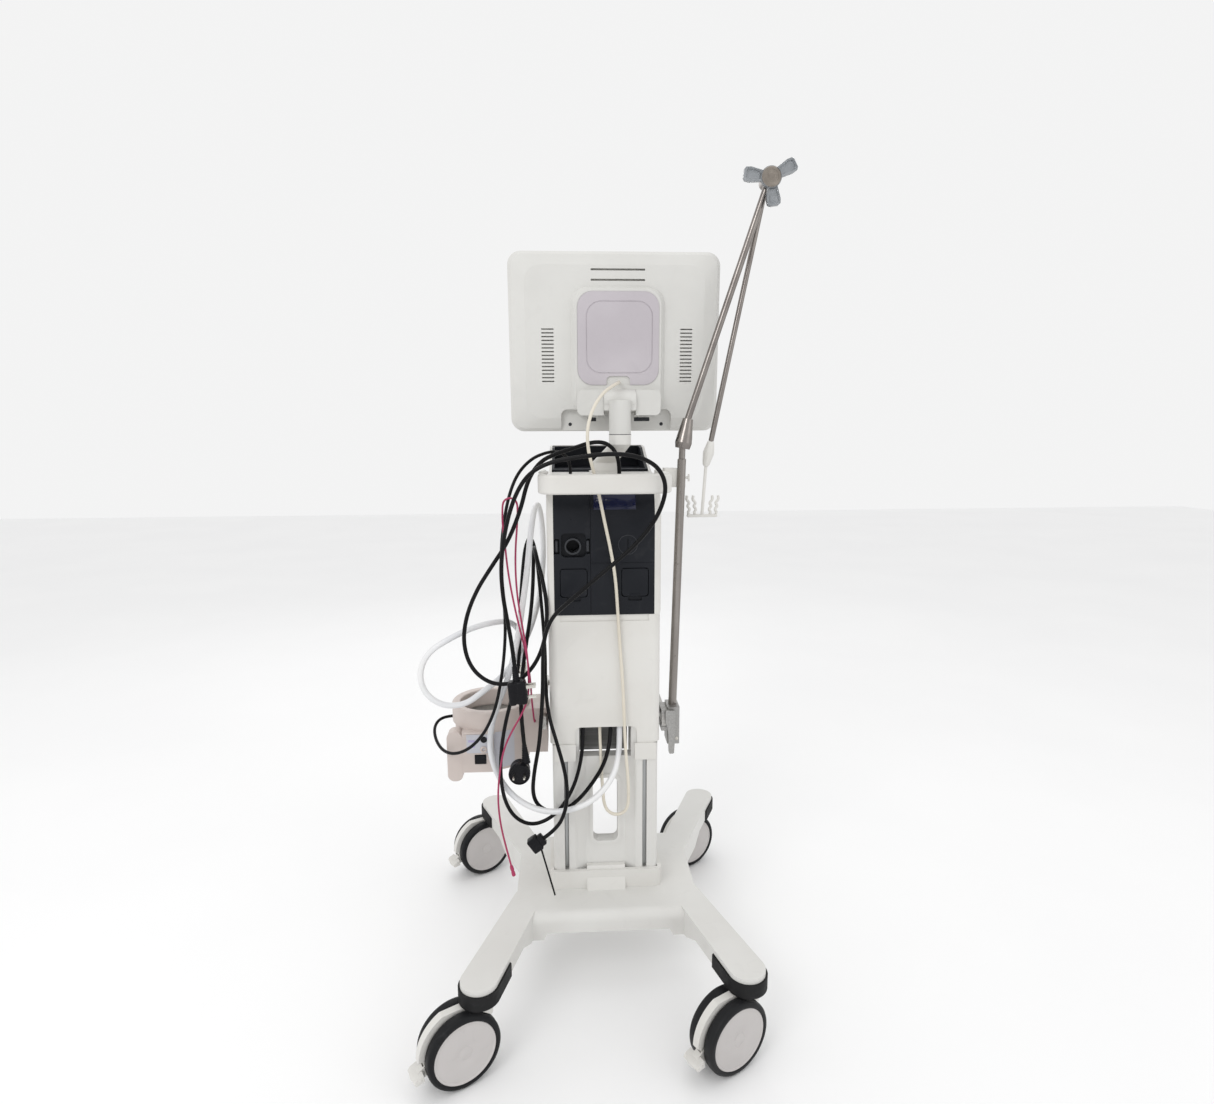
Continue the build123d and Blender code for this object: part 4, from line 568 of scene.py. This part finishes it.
# ---------------------------------------------------------------- wheels
# Profiles of one tyre and one disc, as (radius, distance from the caster's middle plane).
TYRE = [
    (0.0505, 0.0078), (0.0575, 0.0078), (0.0605, 0.0088), (0.0621, 0.0110), (0.0625, 0.0140),
    (0.0625, 0.0215), (0.0620, 0.0245), (0.0604, 0.0270), (0.0575, 0.0283), (0.0545, 0.0284),
    (0.0528, 0.0278), (0.0522, 0.0262), (0.0505, 0.0262),
]
DISC = [
    (0, 0.0082), (0.0504, 0.0082), (0.0504, 0.0262), (0.0520, 0.0262), (0.0524, 0.0272),
    (0.0516, 0.0279), (0.0495, 0.0277), (0.0480, 0.0266), (0.0300, 0.0270), (0.0120, 0.0272),
    (0.0112, 0.0268), (0.0104, 0.0272), (0, 0.0273),
]
for corner in CORNERS:
    roll = joints[f"{corner}_roll"]
    middle, axis = Vector(roll["pos_m"]), Vector(roll["axis"])
    tyres, discs = bmesh.new(), bmesh.new()
    for side in (-1, 1):
        place = turned_frame(middle, side * axis)
        lathe_into(tyres, TYRE, place, 96)
        lathe_into(discs, DISC, place, 96)
    body = f"{corner}_wheels"
    tyre_piece = add_piece(f"{corner}_tyres", finish_mesh("tyres", tyres), tyre_rubber, body)
    add_piece(f"{corner}_discs", finish_mesh("discs", discs), disc_plastic, body)
    axle = [(0, -0.0085), (0.005, -0.0085), (0.005, 0.0085), (0, 0.0085)]
    lathe(f"{corner}_axle", axle, middle, axis, rail_steel, body, 32)
    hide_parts(f"{corner}_wheels")

# ---------------------------------------------------------------- small details
TOWER_FRONT_Y = -0.056
SHOULDER_Z = 0.878
SHOULDER_RADIUS = 0.087
PATCH_BACK = 0.0012


def shoulder_y(z):
    """Depth of the fascia's rounded shoulder at a height."""
    centre = TOWER_FRONT_Y + SHOULDER_RADIUS
    return centre - sqrt(SHOULDER_RADIUS**2 - (z - SHOULDER_Z) ** 2)


def shoulder_patch(name, low_x, high_x, low_z, high_z, proud, material):
    """Thin plate that follows the rounded shoulder."""
    rim, row_steps, column_steps = 0.001, 14, 3
    bm = bmesh.new()
    columns = [low_x, low_x + rim, high_x - rim, high_x]
    rows = [low_z + (high_z - low_z) * k / row_steps for k in range(row_steps + 1)]
    front, back = [], []
    for k, z in enumerate(rows):
        for j, x in enumerate(columns):
            edge = j in (0, column_steps) or k in (0, row_steps)
            lift = 0 if edge else proud
            front.append(bm.verts.new((x, shoulder_y(z) - lift, z)))
            back.append(bm.verts.new((x, shoulder_y(z) + PATCH_BACK, z)))
    for k in range(row_steps):
        for j in range(column_steps):
            a = len(columns) * k + j
            b = a + len(columns)
            bm.faces.new((front[a], front[a + 1], front[b + 1], front[b]))
            bm.faces.new((back[a], back[b], back[b + 1], back[a + 1]))
    rims = [edge for edge in bm.edges if len(edge.link_faces) == 1]
    bmesh.ops.bridge_loops(bm, edges=rims)
    return add_mesh(name, bm, material, "stand", angle=0.9)


shoulder_patch("status_window", -0.019, 0.058, 0.897, 0.925, 0.0012, window_blue)


def screw(name, origin, axis, radius, material=pin_metal, body="stand"):
    """Pan-head screw with a round recess."""
    profile = [
        (0, 0.0004), (0.32 * radius, 0.0004), (0.36 * radius, 0.0011), (0.7 * radius, 0.0010),
        (0.95 * radius, 0.0005), (radius, 0), (radius, -0.0006), (0, -0.0006),
    ]
    return lathe(name, profile, origin, axis, material, body, 28)


# metal strips in the two grooves of the column
GROOVE_X, GROOVE_Y, GROOVE_MIDDLE_Z, GROOVE_LENGTH = 0.075, -0.0512, 0.309, 0.222
for side, side_name in ((-1, "left"), (1, "right")):
    block(
        f"{side_name}_groove_strip", (0.0066, 0.0022, GROOVE_LENGTH), 0.0006,
        (side * GROOVE_X, GROOVE_Y, GROOVE_MIDDLE_Z), strip_metal, "stand",
    )

# screws on the handle's right end, and the eyelet at its left end
for drop in (0, 0.011):
    screw(f"handle_screw_{int(drop * 1000)}", (0.1172, -0.020, 0.951 - drop), (1, 0, 0), 0.0035)
eyelet = [(0.0045, 0), (0.0078, 0), (0.0090, 0.0012), (0.0090, 0.0030), (0.0078, 0.0042), (0.0045, 0.0042)]
lathe(
    "left_eyelet", eyelet, (-0.1075, -0.060, 0.9628), (0, 0, 1), white_plastic, "stand",
    48,
)

# rivets up the pole and the bolt head of the rail clamp
pole_low, pole_high = Vector(joints["pole_turn"]["pos_m"]), Vector((0.149, 0, 1.003))
for k, height in enumerate((0.30, 0.62, 0.86)):
    spot = pole_low.lerp(pole_high, height)
    screw(f"pole_rivet_{k}", spot + Vector((0, -0.0079, 0)), (0, -1, 0), 0.0022, pole_steel, "pole")
screw("clamp_bolt_0", (0.1405, -0.0221, 0.445), (0, -1, 0), 0.0036)

# fingers of the two latches beside the port
for k, (x, width) in enumerate(((-0.0865, 0.0036), (-0.030, 0.0046))):
    block(
        f"port_latch_{k}", (width, 0.0016, 0.019), 0.0006, (x, -0.0545, 0.831), port_grey, "stand",
    )

# display: screws and sockets in the recess along its lower edge
LEAN, DISPLAY_FOOT = 0.052, (0.0265, 0.057, 1.0366)
display_frame = Matrix.Translation(DISPLAY_FOOT) @ Matrix.Rotation(LEAN, 4, "X")
for side in (-1, 1):
    spot = display_frame @ Vector((0.0025 + side * 0.087, -0.0018, 0.013))
    screw(
        f"display_screw_{(side + 1) // 2}", spot, (0, -1, -LEAN), 0.0034, port_grey, "display",
    )
for k, (x, width) in enumerate(((-0.043, 0.016), (0.052, 0.030))):
    place = display_frame @ Matrix.Translation((x, -0.0012, 0.022))
    block(
        f"display_socket_{k}", (width, 0.0026, 0.0075), 0.0009, place, port_grey, "display",
    )

# coin lock: thin lip round it, in a lighter grey than the lock as a painted highlight along its edge
lock_highlight_lip = [(0.0166, 0), (0.0178, 0), (0.0182, 0.0004), (0.0178, 0.0009), (0.0170, 0.0009), (0.0166, 0.0004)]
lathe(
    "coin_lock_highlight_lip", lock_highlight_lip, joints["coin_lock_turn"]["pos_m"], (0, -1, 0), port_grey, "coin_lock",
    64,
)

# humidifier: flat plate with plain bands, curved plate beside it, two sockets and a lip
PLATE_Y = -0.0403
block(
    "humidifier_plate", (0.048, 0.0012, 0.037), 0.0005, (-0.2385, PLATE_Y, 0.4525), panel_grey, "stand",
)
DRUM_X, DRUM_Y, DRUM_RADIUS = -0.222, 0.040, 0.0740
LABEL_THICKNESS = 0.0006
bm = bmesh.new()
ARC_STEPS = 12
arc = [radians(250 + 5 * k) for k in range(ARC_STEPS + 1)]
rows = (0.400, 0.4005, 0.4715, 0.472)
skins = []
for radius in (DRUM_RADIUS, DRUM_RADIUS + LABEL_THICKNESS):
    skin = []
    for z in rows:
        skin.append([bm.verts.new((DRUM_X + radius * cos(a), DRUM_Y + radius * sin(a), z)) for a in arc])
    skins.append(skin)
for row in (0, 3):
    inner, outer = skins[0][row], skins[1][row]
    for k in range(ARC_STEPS):
        bm.faces.new((inner[k], inner[k + 1], outer[k + 1], outer[k]))
for skin in skins:
    for low, high in zip(skin, skin[1:]):
        for k in range(ARC_STEPS):
            bm.faces.new((low[k], low[k + 1], high[k + 1], high[k]))
for k in (0, ARC_STEPS):
    for low, high in ((0, 1), (1, 2), (2, 3)):
        bm.faces.new((skins[0][low][k], skins[0][high][k], skins[1][high][k], skins[1][low][k]))
add_mesh("humidifier_label", bm, panel_grey, "stand")
INK = (0.40, 0.36, 0.55)
paler_ink = tuple(1.15 * channel for channel in INK)
BANDS = ((-0.2530, 0.4580, 0.012), (-0.2530, 0.4470, 0.012), (-0.2200, 0.4640, 0.008))
for k, (x, z, width) in enumerate(BANDS):
    ink = moulded(f"ink band {k}", INK, paler_ink, 0.45, 1500, 0.00002)
    block(
        f"humidifier_band_{k}", (width, 0.0006, 0.0040), 0.0002, (x, PLATE_Y - 0.0007, z), ink, "stand",
    )
socket = [(0.0026, 0), (0.0060, 0), (0.0068, 0.0010), (0.0064, 0.0022), (0.0040, 0.0028), (0.0026, 0.0012)]
lathe(
    "humidifier_socket", socket, (-0.2305, PLATE_Y - 0.0005, 0.4411), (0, -1, 0), beige_plastic,
    "stand", 40,
)
dark_socket = [(0, 0), (0.0056, 0), (0.0062, 0.0014), (0.0052, 0.0020), (0, 0.0012)]
lathe(
    "humidifier_inlet", dark_socket, (-0.2298, PLATE_Y - 0.0005, 0.4610), (0, -1, 0), shiny_black,
    "stand", 40,
)
block(
    "humidifier_lip", (0.058, 0.003, 0.004), 0.0012, (-0.238, -0.0405, 0.4735), beige_plastic, "stand",
)

# elbow knob: three framed lobes round a turned metal boss
ELBOW_X, _, ELBOW_Z = joints["elbow_fold"]["pos_m"]
KNOB_SECTIONS = (
    (0.94, -0.0080), (1.0, -0.0095), (1.0, -0.0165), (0.94, -0.0175), (0.72, -0.0175), (0.66, -0.0135),
)
bm = bmesh.new()
for degrees, reach in ((29, 0.049), (174, 0.049), (278, 0.048)):
    turn = radians(degrees)
    along, across = Vector((cos(turn), 0, sin(turn))), Vector((-sin(turn), 0, cos(turn)))
    outline = [
        (0.012, -0.0085), (0.037, -0.0125), (reach - 0.003, -0.0115), (reach, -0.0075),
        (reach, 0.0075), (reach - 0.003, 0.0115), (0.037, 0.0125), (0.012, 0.0085),
    ]
    middle = sum(point[0] for point in outline) / len(outline)
    loops = []
    for scale, depth in KNOB_SECTIONS:
        loop = []
        for u, v in outline:
            spot = along * (middle + scale * (u - middle)) + across * (scale * v)
            loop.append(bm.verts.new((ELBOW_X + spot.x, depth, ELBOW_Z + spot.z)))
        loops.append(loop)
    for first, second in zip(loops, loops[1:]):
        for k in range(8):
            bm.faces.new((first[k], first[(k + 1) % 8], second[(k + 1) % 8], second[k]))
    bm.faces.new(loops[0])
    bm.faces.new(loops[-1])
hub = [
    (0.0045, 0.0078), (0.017, 0.0078), (0.0185, 0.0092),
    (0.0185, 0.0166), (0.017, 0.0178), (0.0045, 0.0178),
]
lathe_into(bm, hub, turned_frame((ELBOW_X, 0, ELBOW_Z), (0, -1, 0)), 64)
lobes = add_mesh("elbow_knob_lobes", bm, knob_smoke, "elbow_knob", angle=0.5)
boss = [
    (0, 0.0172), (0.0165, 0.0172), (0.0172, 0.0180), (0.0160, 0.0192), (0.0120, 0.0194), (0.0112, 0.0202),
    (0.0060, 0.0204), (0.0052, 0.0198), (0, 0.0198),
]
lathe("elbow_knob_boss", boss, (ELBOW_X, 0, ELBOW_Z), (0, -1, 0), boss_metal, "elbow_knob", 64)
stud = [
    (0, -0.0285), (0.0084, -0.0285), (0.0090, -0.0278), (0.0090, -0.0262), (0.0040, -0.0260),
    (0.0040, 0.0100), (0, 0.0100),
]
lathe("elbow_knob_stud", stud, (ELBOW_X, 0, ELBOW_Z), (0, -1, 0), boss_metal, "elbow_knob", 40)
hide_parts("elbow_knob")

# rounded tread on the tip of each brake pedal
TREAD_REACH, TREAD_DROP, TREAD_LEAN = 0.0715, 0.0205, 0.33
for corner in CORNERS:
    swivel = Vector(joints[f"{corner}_swivel"]["pos_m"])
    wheel = Vector(joints[f"{corner}_roll"]["pos_m"])
    outward = Vector((wheel.x - swivel.x, wheel.y - swivel.y, 0)).normalized()
    tip = Vector((wheel.x, wheel.y, 0)) + outward * TREAD_REACH
    tip.z = wheel.z - TREAD_DROP
    tread_way = (Vector((0, 0, 1)) + outward * TREAD_LEAN).normalized()
    side_way = tread_way.cross(outward).normalized()
    long_way = side_way.cross(tread_way)
    place = Matrix((side_way, long_way, tread_way)).transposed().to_4x4()
    place.translation = tip
    pad = [
        (0, -0.0052), (0.0120, -0.0052), (0.0165, -0.0040), (0.0180, -0.0010), (0.0178, 0.0022),
        (0.0160, 0.0040), (0.0110, 0.0047), (0, 0.0050),
    ]
    bm = bmesh.new()
    lathe_into(bm, pad, place, 48, 0.62)
    add_piece(
        f"{corner}_tread", finish_mesh("tread", bm, 0.9), white_plastic, f"{corner}_pedal",
    )

# joint line where the stem's rings meet
stem_line = [(0.0196, -0.0005), (0.0206, -0.0005), (0.0206, 0.0005), (0.0196, 0.0005)]
lathe(
    "stem_joint_line", stem_line, (0.033, 0, 1.0302), (0, 0, 1), port_grey, "display_arm",
    64,
)

# tube holder: faceted neck, thin stem and four wavy fingers on a slim bar
holder_top = Vector(joints["tube_holder_swing"]["pos_m"])
holder_way = Vector(joints["tube_holder_swing"]["axis"])
COMB_X, COMB_Y, COMB_Z = 0.191, 0.017, 0.879
FINGER_FOOT_Z, FINGER_LEAN = 0.8775, 0.10
bm = bmesh.new()
neck = [
    (0.0030, 0.0010), (0.0072, 0.0010), (0.0085, 0.0030), (0.0128, 0.0200), (0.0130, 0.0240),
    (0.0085, 0.0440), (0.0060, 0.0475), (0.0034, 0.0480), (0.0030, 0.0500), (0.0030, 0.0300),
]
lathe_into(bm, neck, turned_frame(holder_top, holder_way), 40, 0.8)
neck_end = holder_top + holder_way * 0.044
stem_way = Vector((COMB_X, COMB_Y, COMB_Z)) - neck_end
lathe_into(
    bm, [(0, 0), (0.0030, 0), (0.0030, stem_way.length), (0, stem_way.length)],
    turned_frame(neck_end, stem_way), 24,
)
block_into(bm, (0.058, 0.0125, 0.0055), 0.0024, Matrix.Translation((COMB_X, COMB_Y, 0.8762)), 4)
holder = add_mesh("tube_holder_body", bm, white_plastic, "tube_holder")
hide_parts("tube_holder")
heights = (0, 0.005, 0.011, 0.017, 0.023, 0.029, 0.034, 0.037)
sways = (0, 0.0030, -0.0030, 0.0030, -0.0030, 0.0028, 0.0020, 0.0010)
for k, finger_x in enumerate((0.1665, 0.1785, 0.2050, 0.2165)):
    outward = -1 if k < 2 else 1
    corners = []
    for height, sway in zip(heights, sways):
        corners.append((finger_x + outward * (sway + FINGER_LEAN * height), COMB_Y, FINGER_FOOT_Z + height))
    curve = round_curve(f"holder_finger_{k}", corners, 0.0052, 8, 4)
    add_piece(f"holder_finger_{k}", curve, white_plastic, "tube_holder")

# mains inlet set into the rear panel's cut-out: plate, rim of four bars and three blades
INLET_X, INLET_Z = 0.052, 0.765
RIM_BARS = (
    (INLET_X, 0.7775, 0.040, 0.003), (INLET_X, 0.7525, 0.040, 0.003),
    (0.0335, INLET_Z, 0.003, 0.026), (0.0705, INLET_Z, 0.003, 0.026),
)
bm = bmesh.new()
block_into(bm, (0.0470, 0.0030, 0.0290), 0.0014, Matrix.Translation((INLET_X, 0.2455, INLET_Z)), 3)
for rim_x, rim_z, wide, high in RIM_BARS:
    block_into(bm, (wide, 0.0045, high), 0.0010, Matrix.Translation((rim_x, 0.2475, rim_z)), 2)
add_mesh("mains_inlet", bm, port_grey, "stand")
bm = bmesh.new()
for blade_x, blade_z in ((0.044, 0.762), (0.060, 0.762), (0.052, 0.769)):
    block_into(bm, (0.0020, 0.0040, 0.0060), 0.0004, Matrix.Translation((blade_x, 0.2480, blade_z)), 2)
add_mesh("mains_inlet_blades", bm, pin_metal, "stand")

# ---------------------------------------------------------------- floor and light
def pale_floor():
    """Nearly white floor, a little uneven."""
    material, tree, shader, place = new_material("pale floor")
    cloud = spread(tree, noise(tree, place, 1.5, 3), 0.3, 0.7, 0, 1)
    tree.links.new(mixed(tree, cloud, (0.94, 0.94, 0.94), (0.92, 0.92, 0.922)), shader.inputs["Base Color"])
    shader.inputs["Roughness"].default_value = 0.7
    return material


bm = bmesh.new()
bmesh.ops.create_grid(bm, x_segments=2, y_segments=2, size=8)
floor_mesh = bpy.data.meshes.new("floor")
bm.to_mesh(floor_mesh)
bm.free()
floor_mesh.materials.append(pale_floor())
floor = bpy.data.objects.new("floor", floor_mesh)
floor.location.z = -0.001
bpy.context.scene.collection.objects.link(floor)


def area_light(name, place, aim, size, power):
    """Rectangular lamp at place, turned towards aim."""
    data = bpy.data.lights.new(name, "AREA")
    data.shape = "RECTANGLE"
    data.size, data.size_y = size
    data.energy = power
    lamp = bpy.data.objects.new(name, data)
    lamp.location = place
    lamp.rotation_euler = (Vector(aim) - Vector(place)).to_track_quat("-Z", "Y").to_euler()
    bpy.context.scene.collection.objects.link(lamp)


area_light("key", (-1.5, -2.2, 2.6), (0, 0, 0.7), (1.3, 1.3), 20)
area_light("fill", (2.2, -1.6, 1.6), (0, 0, 0.7), (1.6, 1.6), 4)
area_light("top", (0.2, 0.3, 3.2), (0, 0, 0.6), (2.0, 2.0), 6)
area_light("back", (-0.6, 2.6, 2.0), (0, 0, 0.8), (1.8, 1.4), 6)
world = bpy.data.worlds.new("world")
world.use_nodes = True
world.node_tree.nodes["Background"].inputs["Color"].default_value = (1.0, 1.0, 1.0, 1)
world.node_tree.nodes["Background"].inputs["Strength"].default_value = 0.90
bpy.context.scene.world = world
bpy.context.scene.view_settings.view_transform = "Standard"
